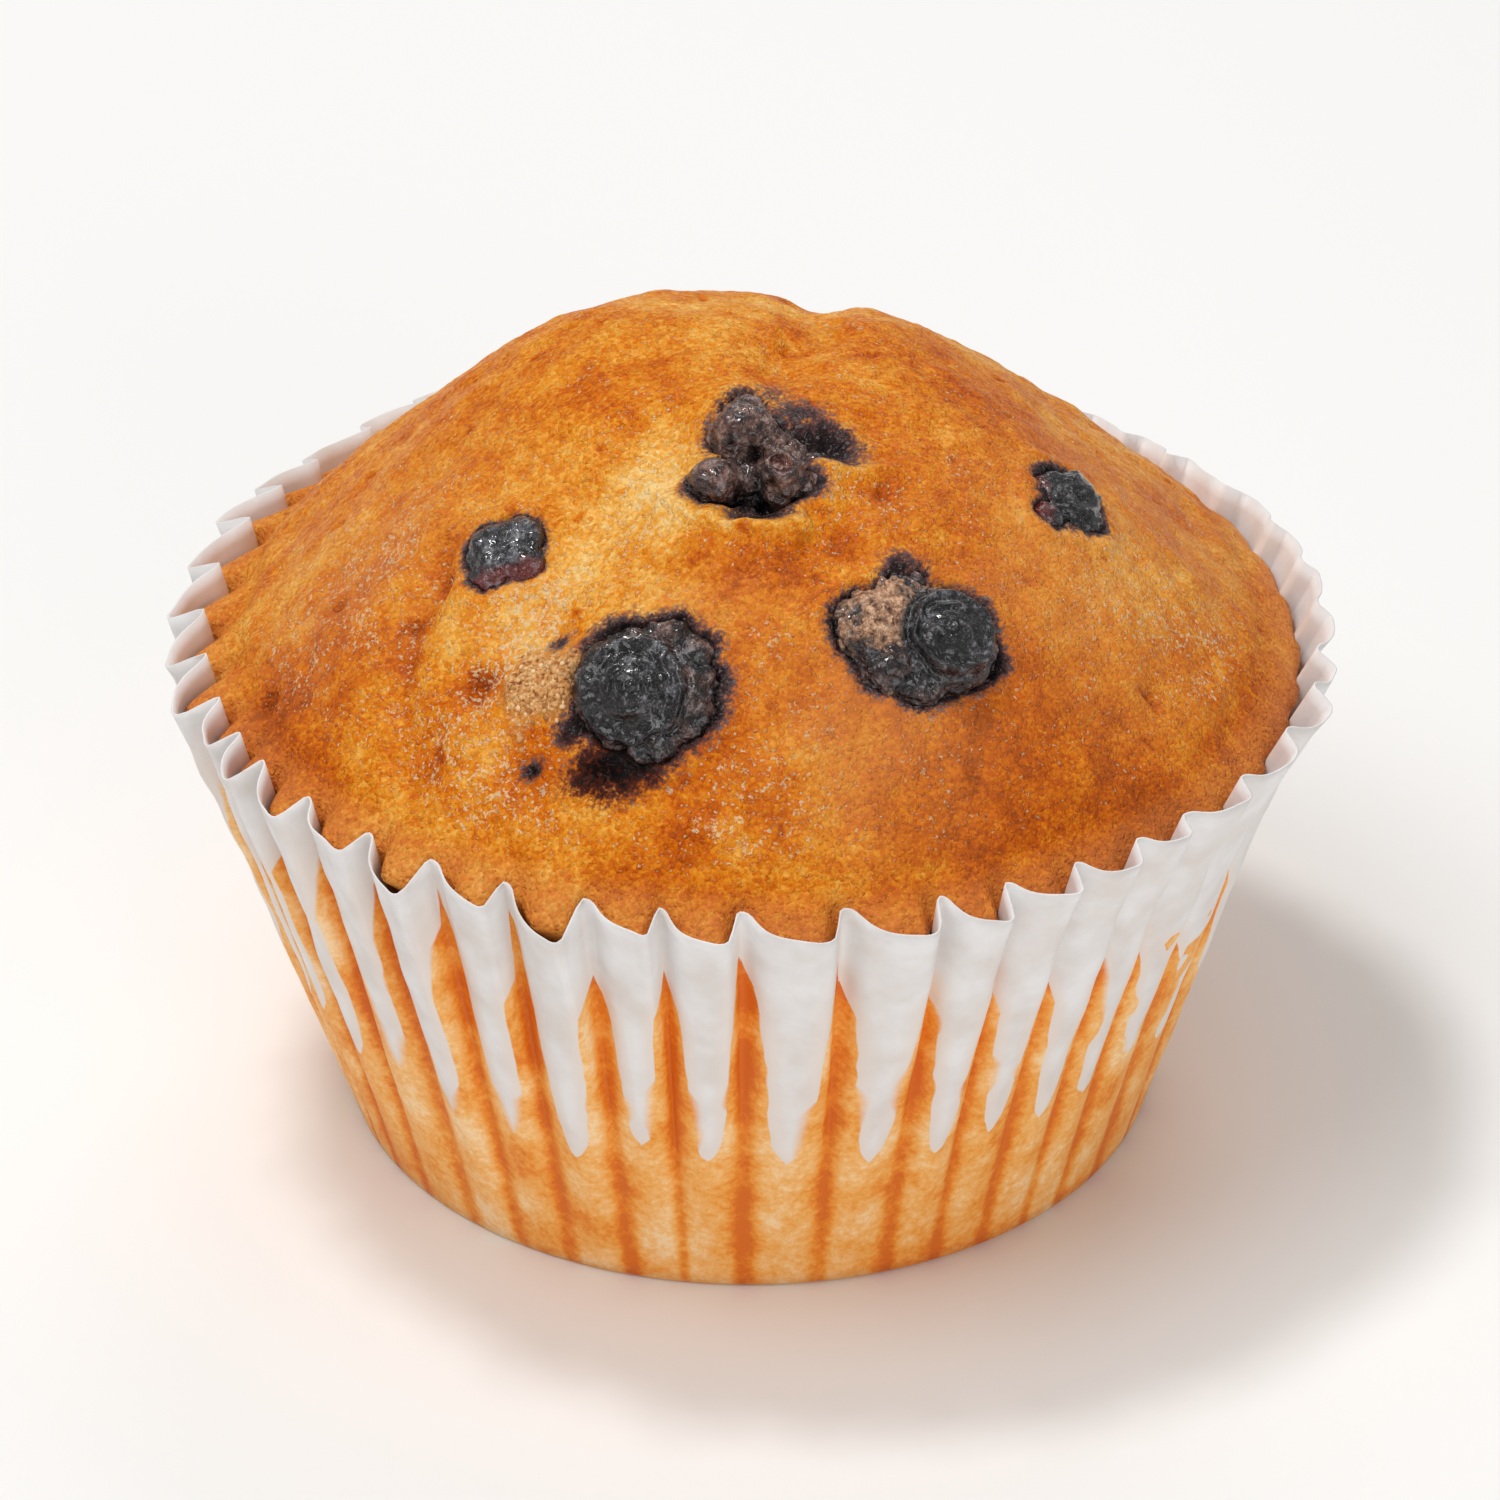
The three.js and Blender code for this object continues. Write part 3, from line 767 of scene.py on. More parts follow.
def plain_mesh_from(made, name):
    """The evaluated mesh of an object with live modifiers, as an object of its own."""
    graph = bpy.context.evaluated_depsgraph_get()
    mesh = bpy.data.meshes.new_from_object(made.evaluated_get(graph))
    mesh.name = name
    bpy.data.objects.remove(made)
    return placed(name, mesh)


# ------------------------------------------------------------------ paper case
CASE_FLOOR_SHARE = 0.12  # share of the case's rows that lie in its floor
MERGE_WITHIN = 0.005  # points of the case closer than this are one
PLEAT_NUDGE = 0.0005  # share of a pleat by which a point on a fold counts to the pleat after it


def fold_angle_tree():
    """Angle of the fold with a given number, as fold_angle() works it out."""
    tree, add, given, result = geometry_tree("fold_angle", {"Fold": 0.0, "Pleats": 1.0}, "Float")
    share = add(MATH, [given["Fold"], given["Pleats"]], "DIVIDE")
    around = add(MATH, [share, 2 * math.pi], "MULTIPLY")
    angle = add(MATH, [around, math.pi / 2], "SUBTRACT")
    for turns, degrees, phase in PLEAT_WAVES:
        inside = add(MATH, [around, turns, phase], "MULTIPLY_ADD")
        wave = add(MATH, [inside], "SINE")
        angle = add(MATH, [wave, math.radians(degrees), angle], "MULTIPLY_ADD")
    tree.links.new(angle.outputs[0], result)
    return tree


def side_share(add, angle, towards, sharpness):
    """1 where the case faces that way, and falling to 0 at a quarter turn from it."""
    facing = add(MATH, [angle, towards], "SUBTRACT")
    cosine = add(MATH, [facing], "COSINE")
    one_side = add(MATH, [cosine, 0.0], "MAXIMUM")
    return add(MATH, [one_side, sharpness], "POWER")


def tongue_gap(add, along, up, shifted, slits, lean, leaning, undented):
    """How far the paper is from the edge of a tongue, in millimetres: free above 0, soaked below."""
    up_shifted = add(MATH, [up, shifted], "ADD")
    up_here = add(MATH, [lean, 0.08, up_shifted], "MULTIPLY_ADD")
    up_slit = add(MATH, [lean, 0.25, up], "MULTIPLY_ADD")
    ripple = add(NOISE, {"Vector": undented, "Scale": 1 / (1.8 * MM), "Detail": 1.5})
    rippled = add(MATH, [ripple, 0.5], "SUBTRACT")
    from_middle = add(MATH, [along, 0.5], "SUBTRACT")
    edges = []
    for places, side, waviness, slit_top in ((TONGUE_LEFT, 1.0, 0.13, slits[0]),
                                             (TONGUE_RIGHT, -1.0, 0.05, slits[1])):
        reach = set_curve(add(CURVE, {"Value": up_here}), places)
        slit_low = add(MATH, [slit_top, 0.14], "SUBTRACT")
        closed = add(RANGE, [up_slit, slit_low, slit_top, reach, 0.66])
        wavy = add(MATH, [rippled, waviness, closed], "MULTIPLY_ADD")
        edges.append(add(MATH, [from_middle, side, wavy], "MULTIPLY_ADD"))
    gap_share = add(MATH, edges, "MINIMUM")
    pleat_width = add(MATH, [leaning, 2 * math.pi / PLEATS / MM], "MULTIPLY")
    gap_plain = add(MATH, [gap_share, pleat_width], "MULTIPLY")
    # Where the case leans out some pleats touch the cake halfway up.
    patches = add(NOISE, {"Vector": undented, "Scale": 1 / (4.0 * MM), "Detail": 1.0})
    touching = add(RANGE, [patches, 0.55, 0.68, 0.0, 3.0])
    below_rim = add(RANGE, [up, 0.65, 0.8, 1.0, 0.0])
    leaning_most = add(RANGE, [lean, 0.45, 0.75])
    touching_low = add(MATH, [touching, below_rim], "MULTIPLY")
    touching_here = add(MATH, [touching_low, leaning_most], "MULTIPLY")
    return add(MATH, [gap_plain, touching_here], "SUBTRACT")


def case_tree():
    """The pleated case, bent from a flat grid: floor, pleated wall and cut edge."""
    tree, add, given, result = geometry_tree("pleated_case", {
        "Pleats": PLEATS,
        "Points Per Pleat": 24,
        "Rows": 40,
        "Floor Radius": FLOOR_RADIUS * MM,
        "Wall Slant": WALL_SLANT * MM,
        "Fold Rim Radius": FOLD_RIM_RADIUS * MM,
        "Pleat Depth": (RIDGE_RIM_RADIUS - FOLD_RIM_RADIUS) * MM,
        "Ridge Drop": RIDGE_DROP * MM,
        "Lean Outwards": LEAN_OUTWARDS * MM,
        "Tuck Inwards": TUCK_INWARDS * MM,
        "Fold Shift": 0.25 * MM,
        "Wobble": 0.35 * MM,
        "Seed": 5,
        "Material": "Material",
    })
    columns = add(MATH, [given["Pleats"], given["Points Per Pleat"], 1.0], "MULTIPLY_ADD")
    grid = add("GeometryNodeMeshGrid", [1.0, 1.0, given["Rows"], columns])
    flat = add("ShaderNodeSeparateXYZ", [add("GeometryNodeInputPosition")])
    row = add(MATH, [flat.outputs["X"], 0.5], "ADD")
    column = add(MATH, [flat.outputs["Y"], 0.5], "ADD")
    floor_in = add(RANGE, [row, 0.0, CASE_FLOOR_SHARE])
    up = add(RANGE, [row, CASE_FLOOR_SHARE])

    # Which pleat, and how far along it from 0 to 1.
    count = add(MATH, [column, given["Pleats"]], "MULTIPLY")
    nudged = add(MATH, [count, PLEAT_NUDGE], "ADD")
    pleat = add(MATH, [nudged], "FLOOR")
    along = add(MATH, [count, pleat], "SUBTRACT", use_clamp=True)
    next_pleat = add(MATH, [pleat, 1.0], "ADD")
    angles = fold_angle_tree()
    start, end = [add("GeometryNodeGroup", {"Fold": fold, "Pleats": given["Pleats"]}, node_tree=angles)
                  for fold in (pleat, next_pleat)]
    angle = add(RANGE, [along, 0.0, 1.0, start, end])

    # What differs from pleat to pleat, as lowest, highest and seed: where its ridge leans low down
    # and at the rim, its depth, where its tongue ends, and where the slits beside it begin.
    low_skew, rim_skew, uneven, shifted, left_slit, right_slit = [
        add(RANDOM, {2: lowest, 3: highest, "ID": pleat, "Seed": seed}).outputs[1]
        for lowest, highest, seed in ((-0.6, 0.2, given["Seed"]), (-0.3, 0.35, 3), (0.70, 1.15, 17),
                                      (-0.03, 0.03, 29), (0.86, 1.04, 31), (0.86, 1.04, 37))]
    # Low down a ridge leans either way; at the rim all pleats lean the same way.
    rim_share = add(RANGE, [up, 0.30, 0.80], interpolation_type="SMOOTHSTEP")
    skew = add(RANGE, [rim_share, 0.0, 1.0, low_skew, rim_skew])
    left = add(MATH, [1.0, along], "SUBTRACT")
    bow = add(MATH, [along, left], "MULTIPLY")
    skewed = add(MATH, [bow, skew, along], "MULTIPLY_ADD")
    low, high = [set_curve(add(CURVE, {"Value": skewed}), places) for places in (LOW_PROFILE, RIM_PROFILE)]
    profile = add(RANGE, [rim_share, 0.0, 1.0, low, high])

    # On one side the wall leans out from the cake and its pleats are shallower. Further round
    # it is tucked in against the cake.
    lean, tuck = [side_share(add, angle, towards, sharpness)
                  for towards, sharpness in ((LEAN_TOWARDS, 2.0), (TUCK_TOWARDS, 4.0))]
    flatter = add(RANGE, [lean, 0.0, 1.0, 1.0, 1 - LEAN_FLATTER])
    depth_here = add(MATH, [given["Pleat Depth"], flatter], "MULTIPLY")
    depth = add(MATH, [depth_here, uneven], "MULTIPLY")
    # Each fold stands a little further in or out and a little higher or lower than the next.
    shifts = []
    for number in (pleat, next_pleat):
        wrapped = add(MATH, [number, given["Pleats"]], "MODULO")
        shifts.append(add(RANDOM, {2: -1.0, 3: 1.0, "ID": wrapped, "Seed": 41}).outputs[1])
    shift = add(RANGE, [along, 0.0, 1.0, *shifts])
    fold_rim = add(MATH, [shift, given["Fold Shift"], given["Fold Rim Radius"]], "MULTIPLY_ADD")
    rim = add(MATH, [depth, profile, fold_rim], "MULTIPLY_ADD")

    # The wall's slant is the same everywhere, so ridges end lower than folds.
    run = add(MATH, [rim, given["Floor Radius"]], "SUBTRACT")
    run_squared = add(MATH, [run, 2.0], "POWER")
    slant_squared = add(MATH, [given["Wall Slant"], 2.0], "POWER")
    rise_squared = add(MATH, [slant_squared, run_squared], "SUBTRACT")
    rise = add(MATH, [rise_squared], "SQRT")
    drop_here = add(MATH, [given["Ridge Drop"], uneven], "MULTIPLY")
    drop = add(MATH, [drop_here, profile], "MULTIPLY")
    dropped = add(MATH, [rise, drop], "SUBTRACT")
    rim_height = add(MATH, [shift, given["Fold Shift"], dropped], "MULTIPLY_ADD")
    height = add(MATH, [rim_height, up], "MULTIPLY")

    wall_radius = add(RANGE, [up, 0.0, 1.0, given["Floor Radius"], rim])
    lean_start = add(RANGE, [up, LEAN_STARTS])
    tuck_start = add(RANGE, [up, TUCK_STARTS], interpolation_type="SMOOTHSTEP")
    lean_up = add(MATH, [lean_start, lean], "MULTIPLY")
    leaning_out = add(MATH, [lean_up, given["Lean Outwards"], wall_radius], "MULTIPLY_ADD")
    tuck_up = add(MATH, [tuck_start, tuck], "MULTIPLY")
    tucked = add(MATH, [tuck_up, given["Tuck Inwards"]], "MULTIPLY")
    leaning = add(MATH, [leaning_out, tucked], "SUBTRACT")

    # Soft dents where the paper is free.
    cosine = add(MATH, [angle], "COSINE")
    sine = add(MATH, [angle], "SINE")
    flat_x, flat_y = [add(MATH, [part, leaning], "MULTIPLY") for part in (cosine, sine)]
    undented = add(XYZ, [flat_x, flat_y, height])
    dents = add(NOISE, {"Vector": undented, "Scale": 1 / (4.5 * MM), "Detail": 1.0})
    swinging = add(RANGE, [dents, 0.2, 0.8, -1.0, 1.0])
    free = add(MATH, [up, profile], "MULTIPLY")
    dent = add(MATH, [swinging, free], "MULTIPLY")
    wall = add(MATH, [dent, given["Wobble"], leaning], "MULTIPLY_ADD")
    radius = add(MATH, [wall, floor_in], "MULTIPLY")

    gap = tongue_gap(add, along, up, shifted, (left_slit, right_slit), lean, leaning, undented)
    shape = grid.outputs["Mesh"]
    for name, value in (("gap", gap), ("ridge", profile), ("up", up)):
        shape = add("GeometryNodeStoreNamedAttribute", {"Geometry": shape, "Name": name, "Value": value},
                    data_type="FLOAT", domain="POINT")
    x, y = [add(MATH, [part, radius], "MULTIPLY") for part in (cosine, sine)]
    bent = add(XYZ, [x, y, height])
    shape = through(add, shape, [
        ("SetPosition", {"Position": bent}), ("MergeByDistance", {"Distance": MERGE_WITHIN * MM}),
        ("SetShadeSmooth", {}), ("RealizeInstances", {}), ("SetMaterial", {"Material": given["Material"]})])
    tree.links.new(shape.outputs[0], result)
    return tree


def make_case(material):
    """The paper case, with the paper's thickness on the inside."""
    blank = mesh_object("case_blank", [(0, 0, 0)], [], material)
    run_tree(blank, case_tree(), Material=material)
    thickness = blank.modifiers.new("paper_thickness", "SOLIDIFY")
    thickness.thickness = PAPER_THICKNESS * MM
    thickness.offset = -1.0
    case = plain_mesh_from(blank, "paper_case_pleated")
    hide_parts("paper_case")
    return case


# ------------------------------------------------------------------ loose crumbs
def scatter_tree(name, attribute):
    """Small lumps lying on a surface, as dense as the named attribute says."""
    tree, add, given, result = geometry_tree(name, {
        "Surface": "Geometry",
        "Per Square Millimetre": 1.0,
        "Smallest": 0.2 * MM,
        "Largest": 0.5 * MM,
        "Flatness": 0.6,
        "Unevenness": 0.3 * MM,
        "Seed": 1,
        "Material": "Material",
    })
    dense = add("GeometryNodeInputNamedAttribute", {"Name": attribute}, data_type="FLOAT")
    per_metre = add(MATH, [given["Per Square Millimetre"], MM ** -2], "MULTIPLY")
    density = add(MATH, [per_metre, dense], "MULTIPLY")
    spots = add("GeometryNodeDistributePointsOnFaces", {
        "Mesh": given["Surface"], "Density": density, "Seed": given["Seed"]})
    spin, size, wide, tint = [
        add(RANDOM, {2: lowest, 3: highest, "Seed": seed}).outputs[1]
        for lowest, highest, seed in ((0.0, 2 * math.pi, 2), (given["Smallest"], given["Largest"], 4),
                                      (0.65, 1.35, 6), (0.0, 1.0, 8))]
    turned = add("FunctionNodeEulerToRotation", [add(XYZ, {2: spin})])
    lying = add("FunctionNodeRotateRotation", [spots.outputs["Rotation"], turned], rotation_space="LOCAL")
    shape = add(XYZ, [wide, 1.0, given["Flatness"]])
    scale = add(VECTOR, {0: shape, "Scale": size}, "SCALE")
    lump = add("GeometryNodeMeshIcoSphere", {"Radius": 0.5, "Subdivisions": 1})
    lumps = add("GeometryNodeInstanceOnPoints", {"Points": spots, "Instance": lump, "Rotation": lying,
                                                 "Scale": scale})
    tinted = add("GeometryNodeStoreNamedAttribute", {"Geometry": lumps, "Name": "tint", "Value": tint},
                 data_type="FLOAT", domain="INSTANCE")
    knobs = add(NOISE, {"Scale": 1 / (0.35 * MM), "Detail": 0.0})
    centred = add(VECTOR, [knobs.outputs["Color"], (0.5, 0.5, 0.5)], "SUBTRACT")
    push = add(VECTOR, {0: centred, "Scale": given["Unevenness"]}, "SCALE")
    shape = through(add, tinted, [
        ("RealizeInstances", {}), ("SetPosition", {"Offset": push}), ("SetShadeSmooth", {}),
        ("SetMaterial", {"Material": given["Material"]})])
    tree.links.new(shape.outputs[0], result)
    return tree


def make_crumbs(cake, material):
    """Small crumbs of sponge, scattered over the torn part of the crust."""
    blank = placed("crumbs_blank", cake.data.copy())
    run_tree(blank, scatter_tree("scattered_crumbs", "crumbly"), Material=material,
             Per_Square_Millimetre=5.0, Smallest=0.2 * MM, Largest=0.5 * MM, Flatness=0.7,
             Unevenness=0.2 * MM, Seed=9)
    crumbs = plain_mesh_from(blank, "loose_crumbs")
    return crumbs


# ------------------------------------------------------------------ materials
def swing(add, source, amount):
    """A noise's output spread to both sides of 0, about as far as amount."""
    return add(RANGE, [source, 0.3, 0.7, -amount, amount], clamp=False)


def baked_crust():
    """Sponge crust, baked: a dry golden skin with pale grains, brown hollows and juice stains, with painted
    glints and painted shade.
    """
    material, add, place, bake_and_shade, stain_and_shade, torn, fleck_and_glint, rosy, flap, wet = new_material(
        "sponge_crust_baked", "bake_and_shade", "stain_and_shade", "torn", "fleck_and_glint", "rosy", "flap", "wet")
    grain, mottle = [add(NOISE, {"Vector": place, "Scale": 1 / size, "Detail": detail, "Roughness": 0.6})
                     for size, detail in ((0.3, 2.0), (1.7, 3.0))]
    wander, coarse = [add(NOISE, {"Vector": place, "Scale": 1 / size, "Detail": detail})
                      for size, detail in ((0.4, 1.0), (0.9, 2.0))]
    # Granules of sponge, each a little lighter or darker than the next.
    bent = add(VECTOR, [wander.outputs["Color"], (0.4, 0.4, 0.4), place], "MULTIPLY_ADD")
    cells = add("ShaderNodeTexVoronoi", {"Vector": bent, "Scale": 1 / 0.27})
    cell = add("ShaderNodeSeparateColor", [cells.outputs["Color"]])
    granule = add(RANGE, [cells.outputs["Distance"], 0.1, 0.75, 1.0, 0.0])
    fine = add(MATH, [swing(add, grain, 0.13), swing(add, cell.outputs[0], 0.05)], "ADD")
    swings = add(MATH, [fine, swing(add, mottle, 0.12)], "ADD")
    browned_and_shaded = add(MATH, [bake_and_shade, swings], "ADD", use_clamp=True)
    crust = set_ramp(add(RAMP, [browned_and_shaded]), [
        (0.0, "#f0ca84"), (0.2, "#e8ab4c"), (0.42, "#dc881c"), (0.62, "#cc6806"), (0.8, "#b44e04"),
        (1.0, "#8f3c08")])

    # Cream flecks, partly sponge that shows and partly painted glints, more of them where the mask is high.
    level = add(RANGE, [fleck_and_glint, 0.0, 1.0, 0.88, 0.60])
    pale = add(MATH, [cell.outputs[1], 0.25, grain], "MULTIPLY_ADD")
    over = add(MATH, [pale, level], "SUBTRACT")
    flecks_and_glints = add(RANGE, [over, 0.0, 0.14, 0.0, 0.72])
    crumb = set_ramp(add(RAMP, [pale]), [
        (0.4, "#7c4420"), (0.55, "#bd8048"), (0.7, "#d8a468"), (0.85, "#ecc896")])
    peach = add(MATH, [rosy, 0.45], "MULTIPLY")

    # Juice dries to a purple stain, or stays wet and brown. The same dark tones are painted shadow in the
    # hollows in front of the middle berry, and painted shade in the smear beside it.
    stain_and_shade_edge = add(MATH, [stain_and_shade, 3.0], "MULTIPLY", use_clamp=True)
    frayed = add(MATH, [swing(add, grain, 0.22), stain_and_shade_edge, stain_and_shade], "MULTIPLY_ADD")
    dry_stain_and_shade = set_ramp(add(RAMP, [frayed]), [
        (0.0, "#b0682c"), (0.3, "#8f5a44"), (0.55, "#5c3f3e"), (0.8, "#2e2122"), (1.0, "#150f10")])
    wet_stain = set_ramp(add(RAMP, [frayed]), [
        (0.0, "#b0560c"), (0.35, "#8a3a08"), (0.65, "#4a1a08"), (0.95, "#0c0504")])
    stain_and_shade_cover = add(RANGE, [frayed, 0.05, 0.65], interpolation_type="SMOOTHSTEP")
    # Painted glints: grey flecks on the grains in the stains, fewer where the juice is wet.
    painted_glint_most = add(RANGE, [wet, 0.0, 1.0, 0.45, 0.0])
    painted_glint_speckle = add(RANGE, [pale, 0.70, 0.82, 0.0, painted_glint_most])
    painted_glint_here = add(MATH, [painted_glint_speckle, stain_and_shade_cover], "MULTIPLY")
    soaked = add(MIX, {0: wet, 6: dry_stain_and_shade, 7: wet_stain}, data_type="RGBA")
    base = crust
    for cover, tone in ((flecks_and_glints, colour("#e8d0a4")), (flap, crumb), (peach, colour("#d4884c")),
                        (stain_and_shade_cover, soaked.outputs[2]), (painted_glint_here, colour("#8d8583"))):
        base = add(MIX, {0: cover, 6: base, 7: tone}, data_type="RGBA").outputs[2]

    uneven = add(MATH, [granule, cell.outputs[1]], "MULTIPLY")
    grainy = add(MATH, [coarse, 1.2, uneven], "MULTIPLY_ADD")
    bump = add(BUMP, {"Strength": 0.9, "Distance": 0.16 * MM, "Height": grainy})
    rough = add(RANGE, [grain, 0.3, 0.7, 0.34, 0.55])
    rough_torn = add(MATH, [torn, -0.1, rough], "MULTIPLY_ADD")
    skin = add(SURFACE, {"Base Color": base, "Roughness": rough_torn, "IOR": 1.36,
                         "Specular IOR Level": 0.13, "Normal": bump})
    add(OUTPUT, {"Surface": skin})
    return material


def toasted_crumb():
    """Crumbs of sponge, toasted: tan lumps, dry, some darker than others."""
    material, add, _, tint = new_material("sponge_crumb_toasted", "tint")
    shade = set_ramp(add(RAMP, [tint]), [
        (0.0, "#a0683a"), (0.3, "#c48950"), (0.7, "#dcaa70"), (1.0, "#efcb9a")])
    skin = add(SURFACE, {"Base Color": shade, "Roughness": 0.6, "IOR": 1.36})
    add(OUTPUT, {"Surface": skin})
    return material


def berry_skin():
    """Berry skin, baked: dark, wrinkled and moist, slate where the bloom is left, with painted highlights
    on ring crests and painted glints.
    """
    material, add, place, coat, juice, flesh, bloom = new_material(
        "berry_skin_baked", "coat", "juice", "flesh", "bloom")
    patch = add(NOISE, {"Vector": place, "Scale": 1 / 0.9, "Detail": 4.0, "Roughness": 0.6})
    ripe, bloomed_and_highlit, opened = [set_ramp(add(RAMP, [patch]), stops) for stops in (
        [(0.3, "#0a0708"), (0.48, "#130f10"), (0.6, "#221c1e"), (0.75, "#3c3637")],
        [(0.33, "#121114"), (0.48, "#2e2e33"), (0.6, "#5a5b62"), (0.72, "#95969c")],
        [(0.33, "#1c1010"), (0.45, "#442b25"), (0.56, "#6e4d42"), (0.68, "#9e7868")])]
    crumb = add(NOISE, {"Vector": place, "Scale": 1 / 0.5, "Detail": 4.0, "Roughness": 0.75})
    crumbs = set_ramp(add(RAMP, [crumb]), [
        (0.34, "#4a3228"), (0.45, "#946a50"), (0.55, "#c79a78"), (0.68, "#ecc8a6")])
    juicy = add(MATH, [juice, 0.6], "MULTIPLY")
    # Painted glints: small grey flecks, gathered in patches, standing in for light caught on the skin.
    painted_glint_speckle = add(NOISE, {"Vector": place, "Scale": 1 / 0.4, "Detail": 3.0, "Distortion": 0.8})
    gathered = add(MATH, [patch, 0.8, painted_glint_speckle], "MULTIPLY_ADD")
    glints = add(RANGE, [gathered, 0.98, 1.22, 0.0, 0.5])
    base = ripe
    for cover, tone in ((bloom, bloomed_and_highlit), (flesh, opened), (juicy, colour("#7a241c")),
                        (glints, colour("#a3a2a8")), (coat, crumbs)):
        base = add(MIX, {0: cover, 6: base, 7: tone}, data_type="RGBA").outputs[2]
    wrinkle = add(NOISE, {"Vector": place, "Scale": 1 / 0.5, "Detail": 2.0, "Distortion": 1.0})
    bump = add(BUMP, {"Strength": 1.0, "Distance": 0.5 * MM, "Height": wrinkle})
    rough = add(RANGE, [patch, 0.35, 0.7, 0.14, 0.34])
    rough_coat = add(MATH, [coat, 0.35, rough], "MULTIPLY_ADD")
    wetness = add(MATH, [coat, -0.5, 0.6], "MULTIPLY_ADD")
    skin = add(SURFACE, {"Base Color": base, "Roughness": rough_coat, "IOR": 1.45, "Normal": bump,
                         "Coat Weight": wetness, "Coat Roughness": 0.06, "Specular IOR Level": 0.4})
    add(OUTPUT, {"Surface": skin})
    return material


def greaseproof_paper():
    """Greaseproof paper, pressed into pleats: matt white where it is free, and golden where the
    cake behind it shows through."""
    material, add, place, gap, ridge, up = new_material("greaseproof_paper_pleated", "gap", "ridge", "up")
    blotch, patchy, lift, fibre = [
        add(NOISE, {"Vector": place, "Scale": 1 / size, "Detail": detail})
        for size, detail in ((3.2, 3.0), (7.0, 1.0), (5.0, 0.0), (0.6, 3.0))]
    crumb = add(NOISE, {"Vector": place, "Scale": 1 / 0.5, "Detail": 3.0, "Roughness": 0.7,
                        "Distortion": 0.3})
    swings = add(MATH, [swing(add, blotch, 0.26), swing(add, crumb, 0.20)], "ADD")
    # In the slits the paper is pressed hard on the cake and soaks most.
    pressed = add(RANGE, [ridge, 0.0, 0.75, 0.10, 0.60], interpolation_type="SMOOTHSTEP")
    light = add(MATH, [swing(add, patchy, 0.18), swings], "ADD")
    lit = add(MATH, [pressed, light], "ADD", use_clamp=True)
    soaked = set_ramp(add(RAMP, [lit]), [
        (0.0, "#dc6c08"), (0.25, "#ea871a"), (0.48, "#f1a444"), (0.72, "#f6bb70"), (1.0, "#f9d7a6")])
    # Where the paper lifts off gently its edge against the gold is soft, elsewhere it is sharp.
    low = add(RANGE, [up, 0.5, 0.65, 0.0, -0.2])
    lifted = add(MATH, [lift, low], "ADD")
    edge = add(RANGE, [lifted, 0.52, 0.66, 0.08, 0.9])
    free = add(RANGE, [gap, 0.0, edge], interpolation_type="SMOOTHSTEP")
    far = add(RANGE, [gap, 0.1, 1.2])
    clean = set_ramp(add(RAMP, [blotch]), [(0.35, "#ded7d2"), (0.5, "#e4e0de"), (0.65, "#eae8e7")])
    white = add(MIX, {0: far, 6: colour("#e6dad1"), 7: clean}, data_type="RGBA")
    base = add(MIX, {0: free, 6: soaked, 7: white.outputs[2]}, data_type="RGBA").outputs[2]
    bump = add(BUMP, {"Strength": 0.25, "Distance": 0.08 * MM, "Height": fibre})
    paper = add(SURFACE, {"Base Color": base, "Roughness": 0.55, "IOR": 1.45, "Normal": bump})
    add(OUTPUT, {"Surface": paper})
    return material


def matt_floor():
    """Painted board, matt: a plain pale surface to stand on."""
    material, add, _ = new_material("painted_board_matt")
    skin = add(SURFACE, {"Base Color": colour("#f1f0ee"), "Roughness": 0.8})
    add(OUTPUT, {"Surface": skin})
    return material


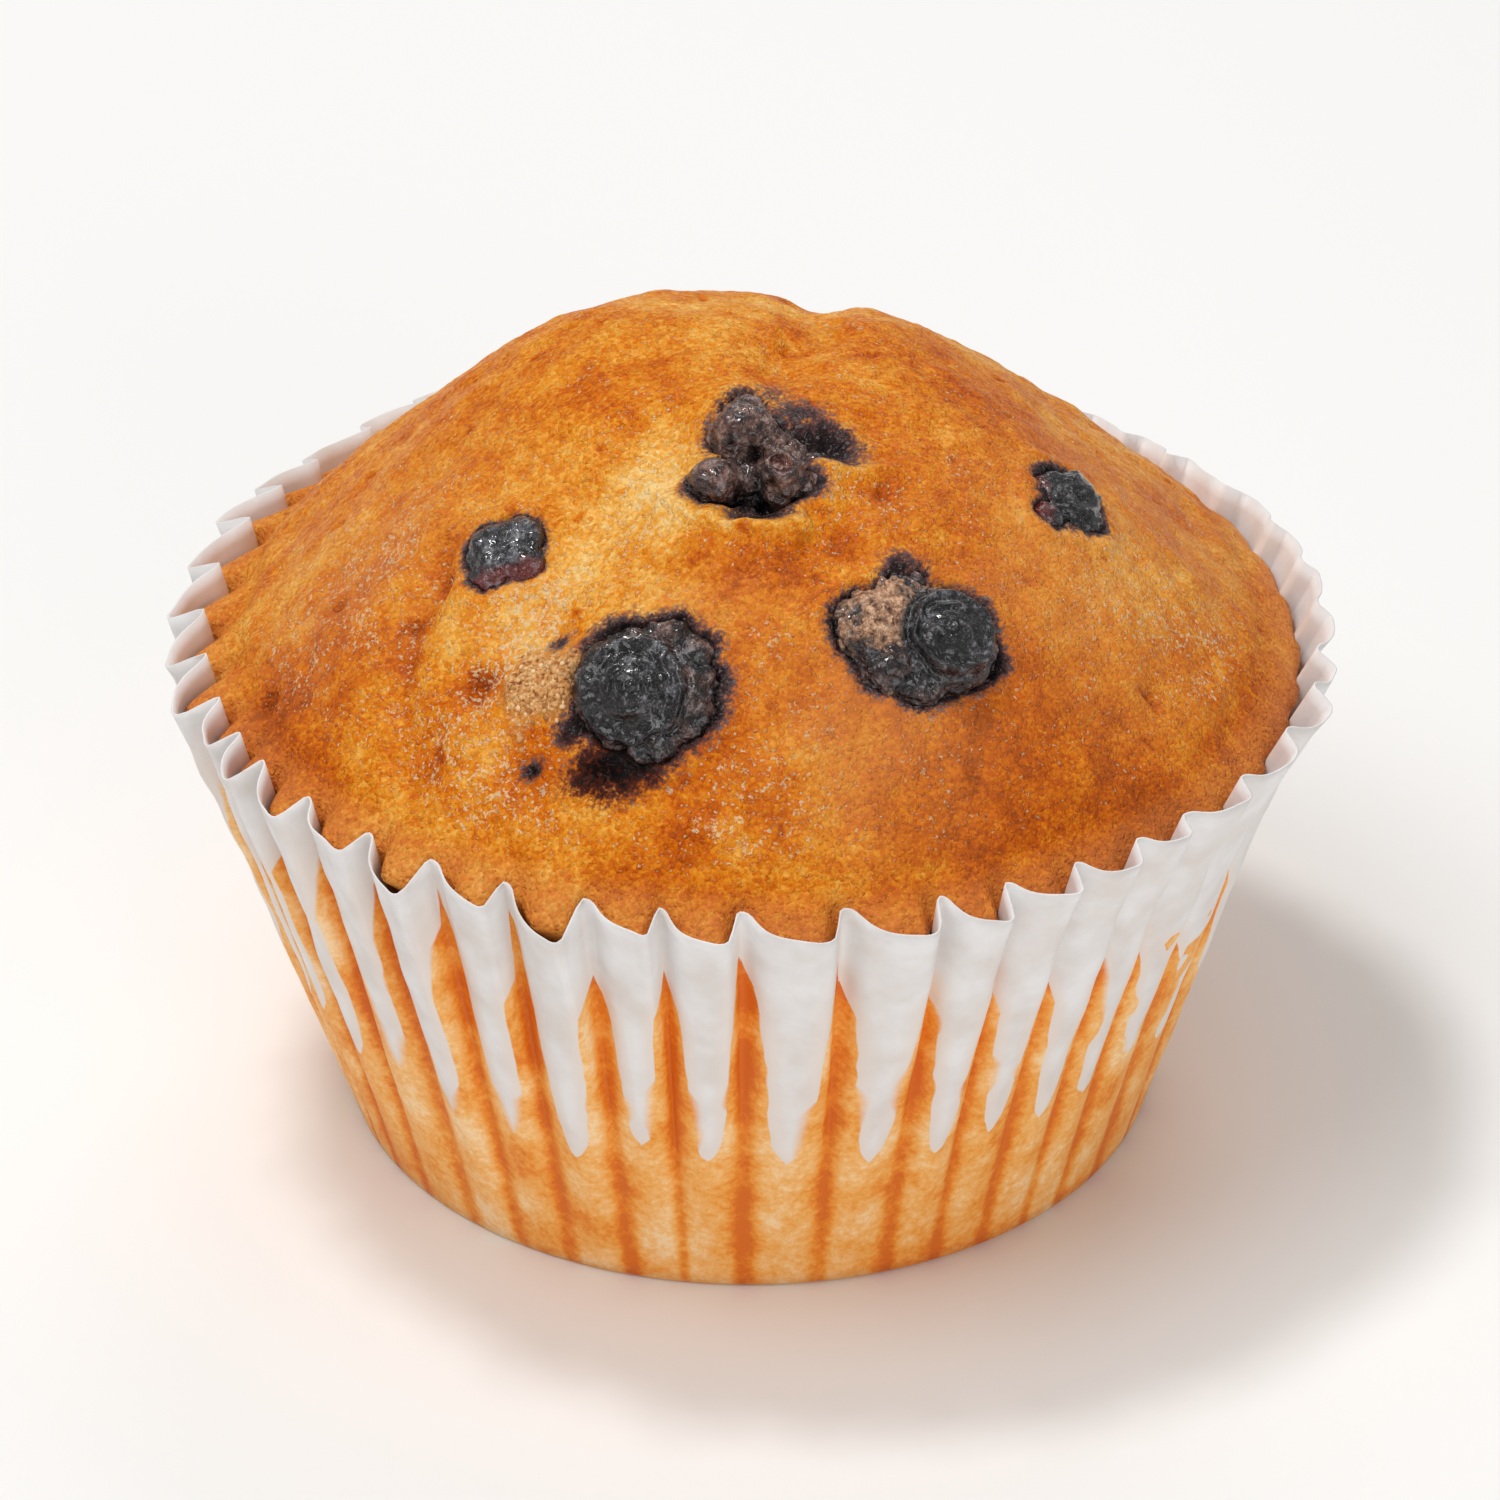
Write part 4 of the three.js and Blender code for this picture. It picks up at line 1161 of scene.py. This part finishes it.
# ------------------------------------------------------------------ camera, lights and floor
VIEW_ELEVATION = math.radians(30.9)
VIEW_DISTANCE = 560.0  # from the middle of the case's rim
RIM_HEIGHT = 35.0
AIM_HEIGHT = 24.5
FRAME_WIDTH = 100.0  # at the point aimed at
SENSOR_WIDTH = 36.0
FLOOR_BOARD_RADIUS = 3000.0
FLOOR_BOARD_CORNERS = 96
SURROUNDING = "#f4f4f4"
SURROUNDING_STRENGTH = 0.42
LIT_POINT = (0, 0, 0.03)  # in metres
LIGHTS = [  # name, place and size in metres, and power
    ("key", (-0.35, -0.25, 0.80), 0.50, 2.3),
    ("sparkle", (-0.20, 0.10, 0.80), 0.15, 2.4),
    ("fill", (0.35, -0.80, 0.22), 0.6, 2.2),
    ("back", (0.15, 0.7, 0.6), 0.5, 1.4),
]


def aim(thing, target):
    """Turns a camera or light to look at a point."""
    direction = Vector(target) - thing.location
    thing.rotation_euler = direction.to_track_quat("-Z", "Y").to_euler()


def make_camera():
    """A long lens, looking down a little at the front of the muffin."""
    camera = placed("camera", bpy.data.cameras.new("camera"))
    back = Vector((0, -math.cos(VIEW_ELEVATION), math.sin(VIEW_ELEVATION)))
    camera.location = (Vector((0, 0, RIM_HEIGHT)) + back * VIEW_DISTANCE) * MM
    target = Vector((0, 0, AIM_HEIGHT * MM))
    aim(camera, target)
    camera.data.sensor_width = SENSOR_WIDTH
    camera.data.lens = SENSOR_WIDTH * (camera.location - target).length / (FRAME_WIDTH * MM)
    bpy.context.scene.camera = camera


def make_studio():
    """Soft lights from above, in front and behind, and a pale surrounding."""
    for name, place, size, power in LIGHTS:
        light = placed(name, bpy.data.lights.new(name, "AREA"))
        light.data.shape = "DISK"
        light.data.size = size
        light.data.energy = power
        light.location = place
        aim(light, LIT_POINT)
    world = bpy.data.worlds.new("studio")
    bpy.context.scene.world = world
    world.use_nodes = True
    background = world.node_tree.nodes["Background"].inputs
    background["Color"].default_value = colour(SURROUNDING)
    background["Strength"].default_value = SURROUNDING_STRENGTH
    bpy.context.scene.view_settings.view_transform = "Standard"


def make_floor():
    """A round board for the muffin to stand on. It belongs to the stage only."""
    mesh = bpy.data.meshes.new("floor")
    shape = bmesh.new()
    bmesh.ops.create_circle(
        shape, cap_ends=True, segments=FLOOR_BOARD_CORNERS, radius=FLOOR_BOARD_RADIUS * MM)
    shape.to_mesh(mesh)
    shape.free()
    mesh.materials.append(matt_floor())
    placed("floor", mesh)


# ------------------------------------------------------------------ the muffin
make_camera()
make_studio()
make_floor()
case = make_case(greaseproof_paper())
cake = make_cake(baked_crust(), case)
pieces = [cake, case, make_crumbs(cake, toasted_crumb())]
skin_material = berry_skin()
for berry_name in BERRIES:
    pieces.append(make_berry(berry_name, skin_material))
for piece in pieces:
    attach(piece, "root")
